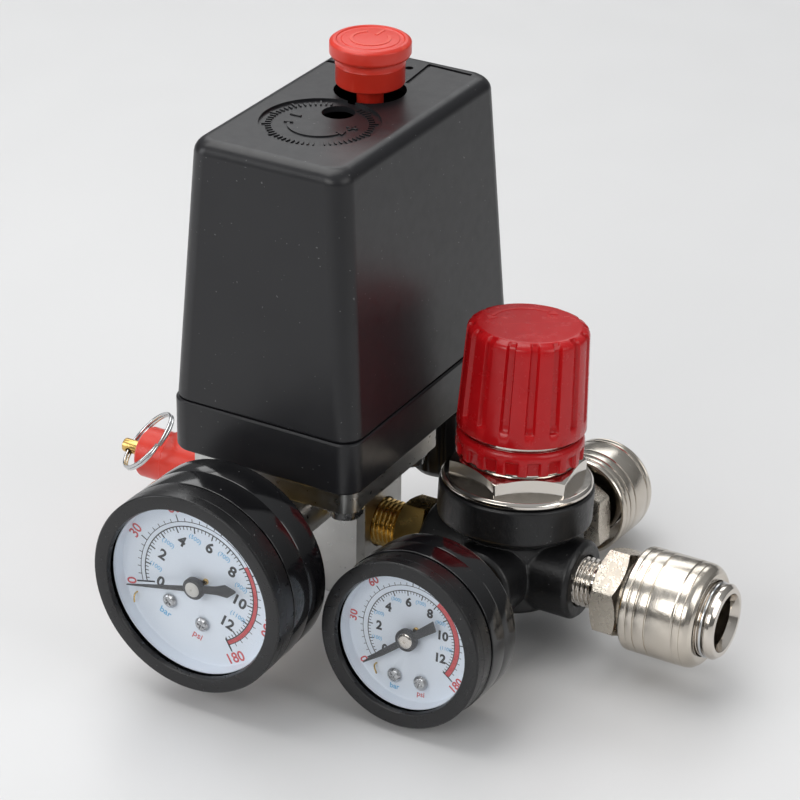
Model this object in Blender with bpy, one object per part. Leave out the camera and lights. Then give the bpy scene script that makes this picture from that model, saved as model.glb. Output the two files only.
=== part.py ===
"""Compressor pressure switch with manifold, relief valve, two gauges, regulator and two quick couplers.

Lengths are in millimetres and become metres when a mesh is made. The frame of the assembly has its origin
where the manifold's vertical axis meets the level port axis: +X towards the regulator, -Y towards the
gauges' faces, +Z up. An empty puts that frame in the world, so that the object stands on z = 0.
"""
import math

import bmesh
import bpy
from mathutils import Matrix, Vector

MM = 0.001
GAP = 0.3                       # left between pieces that touch
ROUND = 24                      # sides of a large round piece
SMALL_ROUND = 14                # sides of a small one
HOLE_ROUND = 8                  # sides of a narrow hole or pin

# Where the assembly frame sits in the world, so that the whole object is centred on the origin
MANIFOLD_X = -19.475
MANIFOLD_Y = 6.83
PORT_HEIGHT = 18.8              # level port axis above the surface that the object stands on

# Pipe threads: outside of the male thread and wall of the hole that takes it
THREAD_1_4 = 6.45
BORE_1_4 = 6.8
THREAD_1_8 = 4.75
BORE_1_8 = 5.05
BORE_3_8 = 7.6
AIR_WAY = 2.6

# Manifold
BLOCK_HALF = 11.1
BLOCK_CHAMFER = 1.6
GAUGE_PORT_Z = 14.15            # tank gauge port above the level port axis
GAUGE_ARM_RADIUS = 8.0
GAUGE_ARM_END = -37.0
FLANGE_BOTTOM = 24.0
FLANGE_TOP = 31.4
FLANGE_HALF_X = 24.0
FLANGE_FRONT = -38.5
FLANGE_BACK = 7.5
CHAMBER_Y = -16.0
BOLT_X = 18.5
BOLT_YS = (-32.0, 0.0)
BOLT_HEAD_AF = 8.0

# Switch housing
BASE_HALF_X = 26.9
BASE_FRONT = -42.9
BASE_BACK = 41.1
BASE_BOTTOM = 31.7
BASE_FLOOR = 36.0
SEAM = 46.0
COVER_STEP = 0.4                # the base stands proud of the cover by this much
COVER_TOP = 115.8
COVER_TAPER_X = 4.58
COVER_TAPER_Y = 3.13
COVER_WALL = 2.2
CORNER_RADIUS = 5.4
TOP_ROUNDING = 3.5
DISC_Y = -13.4
DISC_RADIUS = 15.15
SPRING_AXIS_Y = -4.6
PIVOT_Y = -34.5
PIVOT_Z = 43.5
BUTTON_Y = 10.85
BUTTON_HOLE = 9.2
BUTTON_CAP_RADIUS = 10.3
BUTTON_SKIRT_RADIUS = 8.75
BUTTON_TOP = 129.6
GLAND_X = 15.7
GLAND_Y = 24.0
GLAND_RADIUS = 10.0

# Gauges, each along its own axis with z = 0 on the face of the bezel and +z towards the reader
TANK_GAUGE = dict(prefix="tank_gauge", radius=26.9, case_radius=26.8, window=22.66, depth=24.0, socket_end=47.5,
                  arm_gap=39.9, dial_turn=-22.5, needle_angle=193.5, needle_length=20.3, needle_tail=12.65,
                  screws=((-5.1, -9.8), (5.1, -9.8)))
OUTLET_GAUGE = dict(prefix="outlet_gauge", radius=21.9, case_radius=22.3, window=17.7, depth=21.4, socket_end=45.0,
                    arm_gap=37.3, dial_turn=0.0, needle_angle=219.5, needle_length=14.9, needle_tail=10.2,
                    screws=((-3.7, -11.6), (3.7, -11.6)))
TANK_GAUGE_FACE_Y = -77.2
OUTLET_GAUGE_FACE_Y = -58.6

SECTOR_TRAVEL = 33.0            # degrees, while the needle makes its full sweep

# Regulator, along its own axis from the level port axis up
REGULATOR_X = 49.15
REGULATOR_TILT = -5.2           # degrees about the port axis: the knob leans back
BARREL_RADIUS = 20.0
BARREL_BOTTOM = 11.6
BARREL_TOP = 22.5
LOWER_RADIUS = 13.0
LOWER_BOTTOM = -9.7
BOSS_RADIUS = 10.4
INLET_BOSS = 22.8
GAUGE_BOSS = 21.0
SIDE_BOSS = 21.0
REAR_BOSS = 23.0
BONNET_FLANGE_RADIUS = 19.5
BONNET_FLANGE_TOP = 24.7
BONNET_HEX_AF = 31.0
BONNET_HEX_TOP = 29.6
BONNET_HEX_TURN = -82.0         # direction of one hex corner
NECK_RADIUS = 14.5
NECK_TOP = 45.0
LOCK_RING_RADIUS = 16.4
LOCK_RING_BOTTOM = 30.6
LOCK_RING_TOP = 36.8
LOCK_RING_TABS = 18
KNOB_BOTTOM = 38.2
KNOB_BOTTOM_RADIUS = 16.6
KNOB_TOP_RADIUS = 15.47
KNOB_SHOULDER = 63.6
KNOB_TOP = 65.8
KNOB_GROOVES = 16

# Quick couplers, measured from the boss that each one screws into
COUPLER_HEX_START = 6.7
COUPLER_HEX_END = 14.0
COUPLER_HEX_AF = 21.0
SLEEVE_START = 16.0
SLEEVE_END = 35.5
SLEEVE_RADIUS = 13.7
NOSE_RADIUS = 9.8
COUPLER_MOUTH = 40.0
MOUTH_BORE = 6.9

# Relief valve, from the manifold's axis outwards
RELIEF_HEX_END = 20.0
RELIEF_BODY_RADIUS = 6.2
RELIEF_BODY_END = 52.4
RELIEF_CAP_START = 30.0
RELIEF_CAP_STEP = 55.1
RELIEF_CAP_END = 63.9
RELIEF_CAP_RADIUS = 7.8
RELIEF_TIP_RADIUS = 7.0
RELIEF_PIN_RADIUS = 1.95
RELIEF_PIN_END = 71.2
RELIEF_EYE = 68.5
RING_RADIUS = 9.22
RING_OFFSET = 9.1               # from the eye to the middle of the ring
RING_LEAN = -127.5
RING_SPIN = -28.0               # the pin's cross hole is turned about the pin by this much

# Port nipple between manifold and regulator
NIPPLE_HEX_START = 18.7
NIPPLE_HEX_END = 26.0
NIPPLE_HEX_AF = 17.0


# ---------------------------------------------------------------- mesh helpers

def circle(radius, height, count, turn=0.0):
    """Points of a level circle, counter-clockwise from above."""
    step = math.tau / count
    return [(radius * math.cos(turn + step * i), radius * math.sin(turn + step * i), height)
            for i in range(count)]


def add_bands(bm, rows, close):
    """Join each row of vertices to the next with quads; close also joins the last to the first."""
    count = len(rows[0])
    pairs = list(zip(rows, rows[1:]))
    if close:
        pairs.append((rows[-1], rows[0]))
    for lower, upper in pairs:
        for i in range(count):
            j = (i + 1) % count
            bm.faces.new((lower[i], lower[j], upper[j], upper[i]))


def loft(sections, close=False):
    """Closed solid through sections with equal point counts; close makes a ring without end faces."""
    bm = bmesh.new()
    rows = [[bm.verts.new(point) for point in section] for section in sections]
    add_bands(bm, rows, close)
    if not close:
        bm.faces.new(list(reversed(rows[0])))
        bm.faces.new(rows[-1])
    bmesh.ops.recalc_face_normals(bm, faces=bm.faces)
    return bm


def turned(profile, count=ROUND):
    """Solid of revolution about Z from (radius, height) points; radius 0 at both ends makes it solid."""
    solid = profile[0][0] == 0
    bm = bmesh.new()
    rows = []
    for radius, height in profile:
        if radius == 0:
            rows.append([bm.verts.new((0, 0, height))])
        else:
            rows.append([bm.verts.new(point) for point in circle(radius, height, count)])
    pairs = list(zip(rows, rows[1:]))
    if not solid:
        pairs.append((rows[-1], rows[0]))
    for lower, upper in pairs:
        for i in range(count):
            j = (i + 1) % count
            if len(lower) == 1:
                bm.faces.new((lower[0], upper[j], upper[i]))
            elif len(upper) == 1:
                bm.faces.new((lower[i], lower[j], upper[0]))
            else:
                bm.faces.new((lower[i], lower[j], upper[j], upper[i]))
    bmesh.ops.recalc_face_normals(bm, faces=bm.faces)
    return bm


def rod(radius, low, high, count=SMALL_ROUND):
    return turned([(0, low), (radius, low), (radius, high), (0, high)], count)


def prism(outline, low, high):
    return loft([[(x, y, low) for x, y in outline], [(x, y, high) for x, y in outline]])


def block(x0, x1, y0, y1, z0, z1):
    return prism([(x0, y0), (x1, y0), (x1, y1), (x0, y1)], z0, z1)


def hexagon(across_flats, corner_degrees=0.0):
    corner_radius = across_flats / math.sqrt(3)
    points = circle(corner_radius, 0, 6, math.radians(corner_degrees))
    return [(x, y) for x, y, _ in points]


def rounded_rectangle(x0, x1, y0, y1, radius, steps=3):
    corners = ((x1 - radius, y1 - radius, 0), (x0 + radius, y1 - radius, 90),
               (x0 + radius, y0 + radius, 180), (x1 - radius, y0 + radius, 270))
    outline = []
    for cx, cy, start in corners:
        for i in range(steps + 1):
            angle = math.radians(start + 90 * i / steps)
            outline.append((cx + radius * math.cos(angle), cy + radius * math.sin(angle)))
    return outline


def sweep(path, half_across, half_along_z, sides, close=False):
    """Tube of elliptical section along a path that stays roughly level."""
    points = [Vector(point) for point in path]
    count = len(points)
    sections = []
    for i, point in enumerate(points):
        before = points[i - 1] if close or i > 0 else point
        after = points[(i + 1) % count] if close or i < count - 1 else point
        tangent = (after - before).normalized()
        across = tangent.cross(Vector((0, 0, 1))).normalized()
        upward = across.cross(tangent)
        section = []
        for k in range(sides):
            angle = math.tau * k / sides
            offset = across * half_across * math.cos(angle) + upward * half_along_z * math.sin(angle)
            section.append(tuple(point + offset))
        sections.append(section)
    return loft(sections, close)


def coil_spring(radius, wire, low, high, turns, centre=(0.0, 0.0), steps=10, sides=5):
    """Compression spring about a vertical axis, its wire staying between low and high."""
    total = int(turns * steps)
    start = low + wire
    rise = high - low - 2 * wire
    path = []
    for i in range(total + 1):
        angle = math.tau * i / steps
        path.append((centre[0] + radius * math.cos(angle), centre[1] + radius * math.sin(angle),
                     start + rise * i / total))
    return sweep(path, wire, wire, sides)


def moved(bm, x=0.0, y=0.0, z=0.0):
    bm.transform(Matrix.Translation((x, y, z)))
    return bm


def pointing(bm, direction):
    """Turn a piece modelled along +Z so that it points along direction."""
    bm.transform(Vector((0, 0, 1)).rotation_difference(Vector(direction)).to_matrix().to_4x4())
    return bm


def scratch_object(bm):
    mesh = bpy.data.meshes.new("scratch")
    bm.to_mesh(mesh)
    bm.free()
    piece = bpy.data.objects.new("scratch", mesh)
    bpy.context.collection.objects.link(piece)
    return piece


def combined(base, tools, operation):
    """One closed mesh: base united with the tools, or cut by them, in turn."""
    target = scratch_object(base)
    cutters = [scratch_object(tool) for tool in tools]
    for cutter in cutters:
        step = target.modifiers.new("combine", "BOOLEAN")
        step.operation = operation
        step.solver = "EXACT"
        step.object = cutter
    graph = bpy.context.evaluated_depsgraph_get()
    mesh = bpy.data.meshes.new_from_object(target.evaluated_get(graph))
    result = bmesh.new()
    result.from_mesh(mesh)
    bmesh.ops.remove_doubles(result, verts=result.verts, dist=0.0001)
    for scratch in [target] + cutters:
        bpy.data.objects.remove(scratch, do_unlink=True)
    return result


def united(base, *tools):
    return combined(base, tools, "UNION")


def cut(base, *tools):
    return combined(base, tools, "DIFFERENCE")


# ---------------------------------------------------------------- objects, frames and materials

MATERIALS = {
    "black_plastic": ((0.018, 0.018, 0.020), 0.42, 0.0),
    "black_paint": ((0.012, 0.012, 0.013), 0.30, 0.0),
    "red_plastic": ((0.62, 0.025, 0.018), 0.35, 0.0),
    "knob_red": ((0.50, 0.010, 0.014), 0.30, 0.0),
    "aluminium": ((0.62, 0.62, 0.61), 0.38, 1.0),
    "nickel": ((0.66, 0.62, 0.56), 0.22, 1.0),
    "brass": ((0.70, 0.50, 0.20), 0.28, 1.0),
    "steel": ((0.52, 0.52, 0.53), 0.32, 1.0),
    "spring_steel": ((0.35, 0.35, 0.37), 0.35, 1.0),
    "copper_alloy": ((0.68, 0.40, 0.24), 0.35, 1.0),
    "rubber": ((0.030, 0.030, 0.030), 0.75, 0.0),
    "dial_white": ((0.80, 0.83, 0.88), 0.45, 0.0),
    "clear_lens": ((0.90, 0.93, 0.95), 0.05, 0.0),
    "grey_plastic": ((0.30, 0.31, 0.33), 0.50, 0.0),
}


def material(name):
    existing = bpy.data.materials.get(name)
    if existing:
        return existing
    colour, roughness, metallic = MATERIALS[name]
    made = bpy.data.materials.new(name)
    made.use_nodes = True
    shader = made.node_tree.nodes["Principled BSDF"]
    shader.inputs["Base Color"].default_value = (*colour, 1.0)
    shader.inputs["Roughness"].default_value = roughness
    shader.inputs["Metallic"].default_value = metallic
    if name == "clear_lens":
        shader.inputs["Transmission Weight"].default_value = 0.9
    return made


def frame(name, parent, location=(0, 0, 0), rotation=None):
    """An empty that carries a group of pieces."""
    empty = bpy.data.objects.new(name, None)
    bpy.context.collection.objects.link(empty)
    empty.parent = parent
    place = Matrix.Translation(Vector(location) * MM)
    if rotation is not None:
        place = place @ rotation.to_4x4()
    empty.matrix_local = place
    return empty


def piece(name, bm, material_name, parent, origin=(0, 0, 0)):
    """Make a named object; the mesh is given in its parent's frame and origin becomes its own origin."""
    bm.transform(Matrix.Translation(-Vector(origin)))
    bm.transform(Matrix.Scale(MM, 4))
    mesh = bpy.data.meshes.new(name)
    bm.to_mesh(mesh)
    bm.free()
    mesh.materials.append(material(material_name))
    mesh.shade_smooth()
    mesh.set_sharp_from_angle(angle=math.radians(32))
    made = bpy.data.objects.new(name, mesh)
    bpy.context.collection.objects.link(made)
    made.parent = parent
    made.location = Vector(origin) * MM
    return made


# ---------------------------------------------------------------- manifold and switch

def make_manifold(parent):
    plan = [(BLOCK_HALF, BLOCK_HALF - BLOCK_CHAMFER), (BLOCK_HALF - BLOCK_CHAMFER, BLOCK_HALF)]
    corners = plan + [(-y, x) for x, y in plan] + [(-x, -y) for x, y in plan] + [(y, -x) for x, y in plan]
    solid = prism(corners, -PORT_HEIGHT, FLANGE_BOTTOM + 1)
    flange = prism(rounded_rectangle(-FLANGE_HALF_X, FLANGE_HALF_X, FLANGE_FRONT, FLANGE_BACK, 4.0),
                   FLANGE_BOTTOM, FLANGE_TOP)
    arm_length = -GAUGE_ARM_END
    arm = moved(pointing(rod(GAUGE_ARM_RADIUS, 5, arm_length), (0, -1, 0)), z=GAUGE_PORT_Z)
    solid = united(solid, flange, arm)
    gauge_bore = moved(pointing(rod(BORE_1_8, arm_length - 9.5, arm_length + 1), (0, -1, 0)), z=GAUGE_PORT_Z)
    gauge_way = moved(pointing(rod(AIR_WAY - 0.4, 0, arm_length - 9, HOLE_ROUND), (0, -1, 0)), z=GAUGE_PORT_Z)
    inlet = rod(BORE_3_8, -PORT_HEIGHT - 1, -7.9, 20)
    rising_way = rod(AIR_WAY, -8.5, FLANGE_TOP + 1, HOLE_ROUND)
    chamber = moved(rod(16.0, 28.0, FLANGE_TOP + 1, 24), y=CHAMBER_Y)
    tools = [gauge_bore, gauge_way, inlet, rising_way, chamber]
    for direction in ((1, 0, 0), (-1, 0, 0)):
        tools.append(pointing(rod(BORE_1_4, 3.4, BLOCK_HALF + 1), direction))
        tools.append(pointing(rod(AIR_WAY - 0.8, -1, 4, HOLE_ROUND), direction))
    for x, y in bolt_places():
        tools.append(moved(rod(2.7, FLANGE_BOTTOM - 1, FLANGE_TOP + 1, HOLE_ROUND), x, y))
    piece("manifold_block", cut(solid, *tools), "aluminium", parent)


def bolt_places():
    return [(side * BOLT_X, y) for y in BOLT_YS for side in (-1, 1)]


def make_flange_bolts(parent):
    for number, (x, y) in enumerate(bolt_places(), start=1):
        shank = rod(2.35, FLANGE_BOTTOM - 1.5, BASE_FLOOR - 0.8, HOLE_ROUND)
        head = prism(hexagon(BOLT_HEAD_AF), FLANGE_BOTTOM - GAP - 3.6, FLANGE_BOTTOM - GAP)
        bolt = moved(united(shank, head), x, y)
        piece(f"flange_bolt_{number}", bolt, "nickel", parent)


def make_switch_base(parent):
    outer = prism(rounded_rectangle(-BASE_HALF_X, BASE_HALF_X, BASE_FRONT, BASE_BACK, CORNER_RADIUS),
                  BASE_BOTTOM, SEAM)
    inset = 2.6
    well = prism(rounded_rectangle(-BASE_HALF_X + inset, BASE_HALF_X - inset, BASE_FRONT + inset,
                                   BASE_BACK - inset, CORNER_RADIUS - inset), BASE_FLOOR, SEAM + 1)
    plunger_hole = moved(rod(6.0, BASE_BOTTOM - 1, BASE_FLOOR + 1), y=CHAMBER_Y)
    diaphragm_seat = moved(rod(20.3, BASE_BOTTOM - 1, BASE_BOTTOM + 1.5, 24), y=CHAMBER_Y)
    gland_hole = moved(rod(7.6, BASE_BOTTOM - 1, BASE_FLOOR + 1), GLAND_X, GLAND_Y)
    tools = [well, plunger_hole, diaphragm_seat, gland_hole]
    for x, y in bolt_places():
        tools.append(moved(rod(2.7, BASE_BOTTOM - 1, BASE_FLOOR + 1, HOLE_ROUND), x, y))
    tray = cut(outer, *tools)
    lugs = [block(x - 1.6, x + 1.6, PIVOT_Y - 3.5, PIVOT_Y + 3.5, BASE_FLOOR - 1, PIVOT_Z + 4) for x in (-13, 13)]
    posts = [block(x - 2, x + 2, SPRING_AXIS_Y - 5.5, SPRING_AXIS_Y + 1.2, BASE_FLOOR - 1, 92) for x in (-17, 17)]
    bridge = block(-19.5, 19.5, SPRING_AXIS_Y - 6, SPRING_AXIS_Y + 4.5, 90, 95.5)
    pivot_hole = moved(pointing(rod(2.3, -20, 20), (1, 0, 0)), y=PIVOT_Y, z=PIVOT_Z)
    screw_hole = moved(rod(2.9, 88, 97), y=SPRING_AXIS_Y)
    tray = cut(united(tray, *lugs, *posts, bridge), pivot_hole, screw_hole)
    piece("switch_base", tray, "black_plastic", parent)


def make_cover(parent):
    base_y0 = BASE_FRONT + COVER_STEP
    base_y1 = BASE_BACK - COVER_STEP
    half = BASE_HALF_X - COVER_STEP
    low = SEAM + GAP

    def section(z, inset, radius):
        share = (z - low) / (COVER_TOP - low)
        dx = COVER_TAPER_X * share + inset
        dy = COVER_TAPER_Y * share + inset
        outline = rounded_rectangle(-half + dx, half - dx, base_y0 + dy, base_y1 - dy, radius, 3)
        return [(x, y, z) for x, y in outline]

    outer = [section(low, 0, CORNER_RADIUS)]
    for i in range(4):
        angle = math.radians(90 * i / 3)
        inset = TOP_ROUNDING * (1 - math.cos(angle))
        height = COVER_TOP - TOP_ROUNDING * (1 - math.sin(angle))
        outer.append(section(height, inset, CORNER_RADIUS - 0.5 * inset))
    inner = [section(low - 1, COVER_WALL, CORNER_RADIUS - 1.5),
             section(COVER_TOP - COVER_WALL, COVER_WALL, CORNER_RADIUS - 1.5)]
    disc = moved(rod(DISC_RADIUS, COVER_TOP - 0.7, COVER_TOP + 1, 28), y=DISC_Y)
    access_hole = moved(rod(4.2, COVER_TOP - 5, COVER_TOP + 1), y=SPRING_AXIS_Y)
    button_hole = moved(rod(BUTTON_HOLE, COVER_TOP - 5, COVER_TOP + 1, 24), y=BUTTON_Y)
    piece("cover", cut(loft(outer), loft(inner), disc, access_hole, button_hole), "black_plastic", parent)


def make_switch_mechanism(parent):
    diaphragm = moved(rod(19.9, 31.8, 32.8, 24), y=CHAMBER_Y)
    piece("switch_diaphragm", diaphragm, "rubber", parent)
    plunger = turned([(0, 33.2), (5.4, 33.2), (5.4, 37.5), (3.5, 38.5), (3.5, 41.2), (0, 41.2)], 16)
    piece("diaphragm_plunger", moved(plunger, y=CHAMBER_Y), "grey_plastic", parent, (0, CHAMBER_Y, 0))
    plate = block(-9.5, 9.5, PIVOT_Y + 1, 3.2, 41.6, 43.6)
    trunnion = moved(pointing(rod(1.9, -14.2, 14.2, 12), (1, 0, 0)), y=PIVOT_Y, z=PIVOT_Z)
    seat = moved(rod(4.0, 43.0, 45.5, 12), y=SPRING_AXIS_Y)
    lever = united(plate, trunnion, seat)
    piece("rocker_lever", lever, "steel", parent, (0, PIVOT_Y, PIVOT_Z))
    spring = coil_spring(6.4, 0.9, 43.9, 85.2, 6.5, (0, SPRING_AXIS_Y))
    piece("main_spring", spring, "spring_steel", parent)
    screw = turned([(0, 62), (2.5, 62), (2.5, 85.6), (8.2, 85.6), (8.2, 87.6), (2.5, 87.6),
                    (2.5, 104), (3.8, 104), (3.8, 107.5), (0, 107.5)], SMALL_ROUND)
    slot = block(-4.5, 4.5, -0.5, 0.5, 106.2, 108)
    screw = moved(cut(screw, slot), y=SPRING_AXIS_Y)
    piece("range_screw", screw, "steel", parent, (0, SPRING_AXIS_Y, 0))
    terminals = block(-20.5, 7.2, 7.4, 35.0, BASE_FLOOR + GAP, 57.4)
    recesses = [block(x - 2.7, x + 2.7, 17.0, 36.0, 48, 58) for x in (-15.4, -6.65, 2.1)]
    piece("terminal_block", cut(terminals, *recesses), "grey_plastic", parent)
    bar = block(-12, 12, BUTTON_Y - 2.5, BUTTON_Y + 2.5, 65.8, 68.8)
    piece("contact_bridge", bar, "copper_alloy", parent, (0, BUTTON_Y, 0))


def make_button(parent):
    cap = turned([(0, 69.1), (3.4, 69.1), (3.4, 119.6), (7.4, 119.6), (7.4, 117.9), (BUTTON_SKIRT_RADIUS, 117.9),
                  (BUTTON_SKIRT_RADIUS, 125.4), (BUTTON_CAP_RADIUS - 0.4, 125.4), (BUTTON_CAP_RADIUS, 126.0),
                  (BUTTON_CAP_RADIUS, 128.5), (BUTTON_CAP_RADIUS - 1.3, BUTTON_TOP), (0, BUTTON_TOP)], 24)
    piece("on_off_button", moved(cap, y=BUTTON_Y), "red_plastic", parent, (0, BUTTON_Y, 0))


def make_gland(parent):
    flange = prism(hexagon(2 * GLAND_RADIUS, 15), 27.4, BASE_BOTTOM - GAP)
    shaft = rod(7.2, 20.5, 41.5)
    body = cut(united(flange, shaft), rod(4.4, 19, 43))
    piece("gland_body", moved(body, GLAND_X, GLAND_Y), "black_plastic", parent)
    nut = turned([(7.6, 27.0), (7.6, 19.0), (4.6, 16.5), (4.6, 7.0), (7.4, 7.0), (9.4, 9.2),
                  (GLAND_RADIUS, 12.0), (GLAND_RADIUS, 27.0)], 24)
    piece("gland_nut", moved(nut, GLAND_X, GLAND_Y), "black_plastic", parent)


# ---------------------------------------------------------------- gauges

def make_gauge(settings, parent):
    name = settings["prefix"]
    radius = settings["radius"]
    window = settings["window"]
    depth = settings["depth"]
    bezel = turned([(window, -1.3), (window + 0.7, 0), (radius - 1.3, 0), (radius - 0.3, -0.6), (radius, -1.6),
                    (radius, -7.0), (radius - 1.8, -7.0), (radius - 1.8, -1.3)], ROUND + 4)
    piece(f"{name}_bezel", bezel, "black_paint", parent)
    lens = rod(radius - 2.1, -2.4, -1.6, 24)
    piece(f"{name}_lens", lens, "clear_lens", parent)
    wall = radius - 3.7
    back = settings["case_radius"]
    case = turned([(4.6, -depth), (back - 1.4, -depth), (back, -depth + 1.6),
                   (back, -7.3), (radius - 2.1, -7.3), (radius - 2.1, -5.2), (wall, -5.2),
                   (wall, -depth + 1.8), (4.6, -depth + 1.8)], ROUND + 4)
    piece(f"{name}_case", case, "black_paint", parent)
    turn = Matrix.Rotation(math.radians(settings["dial_turn"]), 3, "Z")
    screw_places = [turn @ Vector((x, y, 0)) for x, y in settings["screws"]]
    holes = [moved(rod(1.2, -12, -5, 8), place.x, place.y) for place in screw_places]
    dial = turned([(1.5, -7.0), (wall - GAP, -7.0), (wall - GAP, -6.2), (1.5, -6.2)], 24)
    piece(f"{name}_dial", cut(dial, *holes), "dial_white", parent)
    for number, place in enumerate(screw_places, start=1):
        screw = turned([(0, -9.8), (0.9, -9.8), (0.9, -5.9), (1.9, -5.9), (1.6, -5.0), (0, -5.0)], HOLE_ROUND)
        piece(f"{name}_dial_screw_{number}", moved(screw, place.x, place.y), "nickel", parent)
    make_needle(settings, parent)
    make_movement(settings, screw_places, parent)


def make_needle(settings, parent):
    """Pointer, hub and arbor; the arbor's lower end is the pinion that the sector drives."""
    name = settings["prefix"]
    length = settings["needle_length"]
    tail = settings["needle_tail"]
    outline = [(length, 0.12), (0, 0.75), (-0.55 * tail, 1.1), (-0.92 * tail, 1.9), (-tail, 0.6),
               (-tail, -0.6), (-0.92 * tail, -1.9), (-0.55 * tail, -1.1), (0, -0.75), (length, -0.12)]
    blade = prism(outline, -3.75, -3.35)
    blade.transform(Matrix.Rotation(math.radians(settings["needle_angle"]), 4, "Z"))
    hub = turned([(0, -11.4), (0.8, -11.4), (0.8, -4.6), (2.9, -4.6), (2.9, -3.1), (1.6, -2.7), (0, -2.7)], 12)
    piece(f"{name}_needle", united(hub, blade), "black_plastic", parent)


def make_movement(settings, screw_places, parent):
    name = settings["prefix"]
    depth = settings["depth"]
    tube_radius = settings["radius"] - 9.5
    half = max(abs(place.x) for place in screw_places) + 2.6
    bottom = min(place.y for place in screw_places) - 2.4
    plate = block(-half, half, bottom, 4.5, -9.4, -8.4)
    post = block(-2.0, 2.0, -9.6, -7.2, -15.0, -8.9)
    holes = [moved(rod(1.2, -12, -7, 8), place.x, place.y) for place in screw_places]
    arbor_hole = rod(1.2, -12, -7, 8)
    sector_hole = moved(rod(1.0, -12, -7, 8), *sector_pivot())
    movement = cut(united(plate, post), *holes, arbor_hole, sector_hole)
    piece(f"{name}_movement", movement, "brass", parent)
    make_sector(name, parent)
    neck = turned([(0, -settings["socket_end"]), (THREAD_1_8, -settings["socket_end"]),
                   (THREAD_1_8, -settings["arm_gap"] + 1), (4.25, -settings["arm_gap"] + 1), (4.25, -15.4),
                   (0, -15.4)], SMALL_ROUND)
    grip = prism(hexagon(14.0, 20), -settings["arm_gap"], -depth - GAP)
    foot = block(-2.2, 2.2, -tube_radius + 2.0, 0, -depth + 2.2, -15.4)
    passage = rod(1.4, -settings["socket_end"] - 1, -depth + 3, 8)
    piece(f"{name}_socket", cut(united(neck, grip, foot), passage), "brass", parent)
    path = []
    for i in range(19):
        angle = math.radians(-80 + 250 * i / 18)
        path.append((tube_radius * math.cos(angle), tube_radius * math.sin(angle), -15.1))
    tube = sweep(path, 1.1, 1.8, 6)
    piece(f"{name}_bourdon_tube", tube, "copper_alloy", parent)


def sector_pivot():
    return -6.1, 4.0 - 8.4


def make_sector(name, parent):
    """Toothed segment that turns the arbor; its rim runs close to the arbor without touching it."""
    px, py = sector_pivot()
    reach = math.hypot(px, py) - 0.8 - 0.2
    towards = math.degrees(math.atan2(-py, -px)) - SECTOR_TRAVEL / 2
    outline = [(-1.2, 0.0)]
    for i in range(7):
        angle = math.radians(-24 + 48 * i / 6)
        outline.append((reach * math.cos(angle), reach * math.sin(angle)))
    segment = prism(outline, -11.2, -10.2)
    hub = rod(1.3, -11.2, -10.0, 8)
    pin = rod(0.7, -12.0, -8.6, 8)
    sector = united(segment, hub, pin)
    sector.transform(Matrix.Rotation(math.radians(towards), 4, "Z"))
    piece(f"{name}_sector", moved(sector, px, py), "brass", parent, (px, py, 0))


# ---------------------------------------------------------------- relief valve and nipple

def make_relief_valve(parent):
    """Modelled along +Z of its own frame, which points away from the manifold."""
    body = turned([(0, 3.8), (THREAD_1_4, 3.8), (THREAD_1_4, BLOCK_HALF + GAP + 1),
                   (RELIEF_BODY_RADIUS, BLOCK_HALF + GAP + 1), (RELIEF_BODY_RADIUS, RELIEF_BODY_END),
                   (0, RELIEF_BODY_END)], 20)
    grip = prism(hexagon(17.0), BLOCK_HALF + GAP, RELIEF_HEX_END)
    chamber = rod(5.1, 26.0, RELIEF_BODY_END + 1)
    piece("relief_body", cut(united(body, grip), chamber, rod(2.4, 2, 27)), "brass", parent)
    bore = RELIEF_BODY_RADIUS + GAP
    cap = turned([(bore, RELIEF_CAP_START), (RELIEF_CAP_RADIUS, RELIEF_CAP_START),
                  (RELIEF_CAP_RADIUS, RELIEF_CAP_STEP - 0.4), (RELIEF_CAP_RADIUS - 0.4, RELIEF_CAP_STEP),
                  (RELIEF_TIP_RADIUS, RELIEF_CAP_STEP), (RELIEF_TIP_RADIUS, RELIEF_CAP_END - 0.8),
                  (RELIEF_TIP_RADIUS - 0.8, RELIEF_CAP_END), (2.3, RELIEF_CAP_END),
                  (2.3, RELIEF_BODY_END + 0.5), (bore, RELIEF_BODY_END + 0.5)], 20)
    piece("relief_cap", cap, "red_plastic", parent)
    stem = turned([(0, 27), (4.4, 27), (4.4, 30), (RELIEF_PIN_RADIUS, 30), (RELIEF_PIN_RADIUS, RELIEF_PIN_END - 0.5),
                   (RELIEF_PIN_RADIUS - 0.5, RELIEF_PIN_END), (0, RELIEF_PIN_END)], 12)
    hole = moved(pointing(rod(1.45, -3, 3, 12), (0, 1, 0)), z=RELIEF_EYE)
    stem = cut(stem, hole)
    stem.transform(Matrix.Rotation(math.radians(RING_SPIN), 4, "Z"))
    piece("relief_stem", stem, "brass", parent)
    path = [(x - RING_OFFSET, y, z) for x, y, z in circle(RING_RADIUS, 0, 24)]
    ring = sweep(path, 0.45, 0.9, 6, close=True)
    ring.transform(Matrix.Rotation(math.radians(RING_LEAN), 4, "Y"))
    ring.transform(Matrix.Rotation(math.radians(RING_SPIN), 4, "Z"))
    piece("pull_ring", moved(ring, z=RELIEF_EYE), "nickel", parent, (0, 0, RELIEF_EYE))


def make_nipple(parent):
    regulator_face = REGULATOR_X - INLET_BOSS
    tube = rod(THREAD_1_4, 3.8, regulator_face + 6.5)
    grip = prism(hexagon(NIPPLE_HEX_AF, 20), NIPPLE_HEX_START, regulator_face - GAP)
    nipple = cut(united(tube, grip), rod(3.0, 2, 40, HOLE_ROUND))
    piece("port_nipple", pointing(nipple, (1, 0, 0)), "brass", parent)


# ---------------------------------------------------------------- regulator

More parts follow.
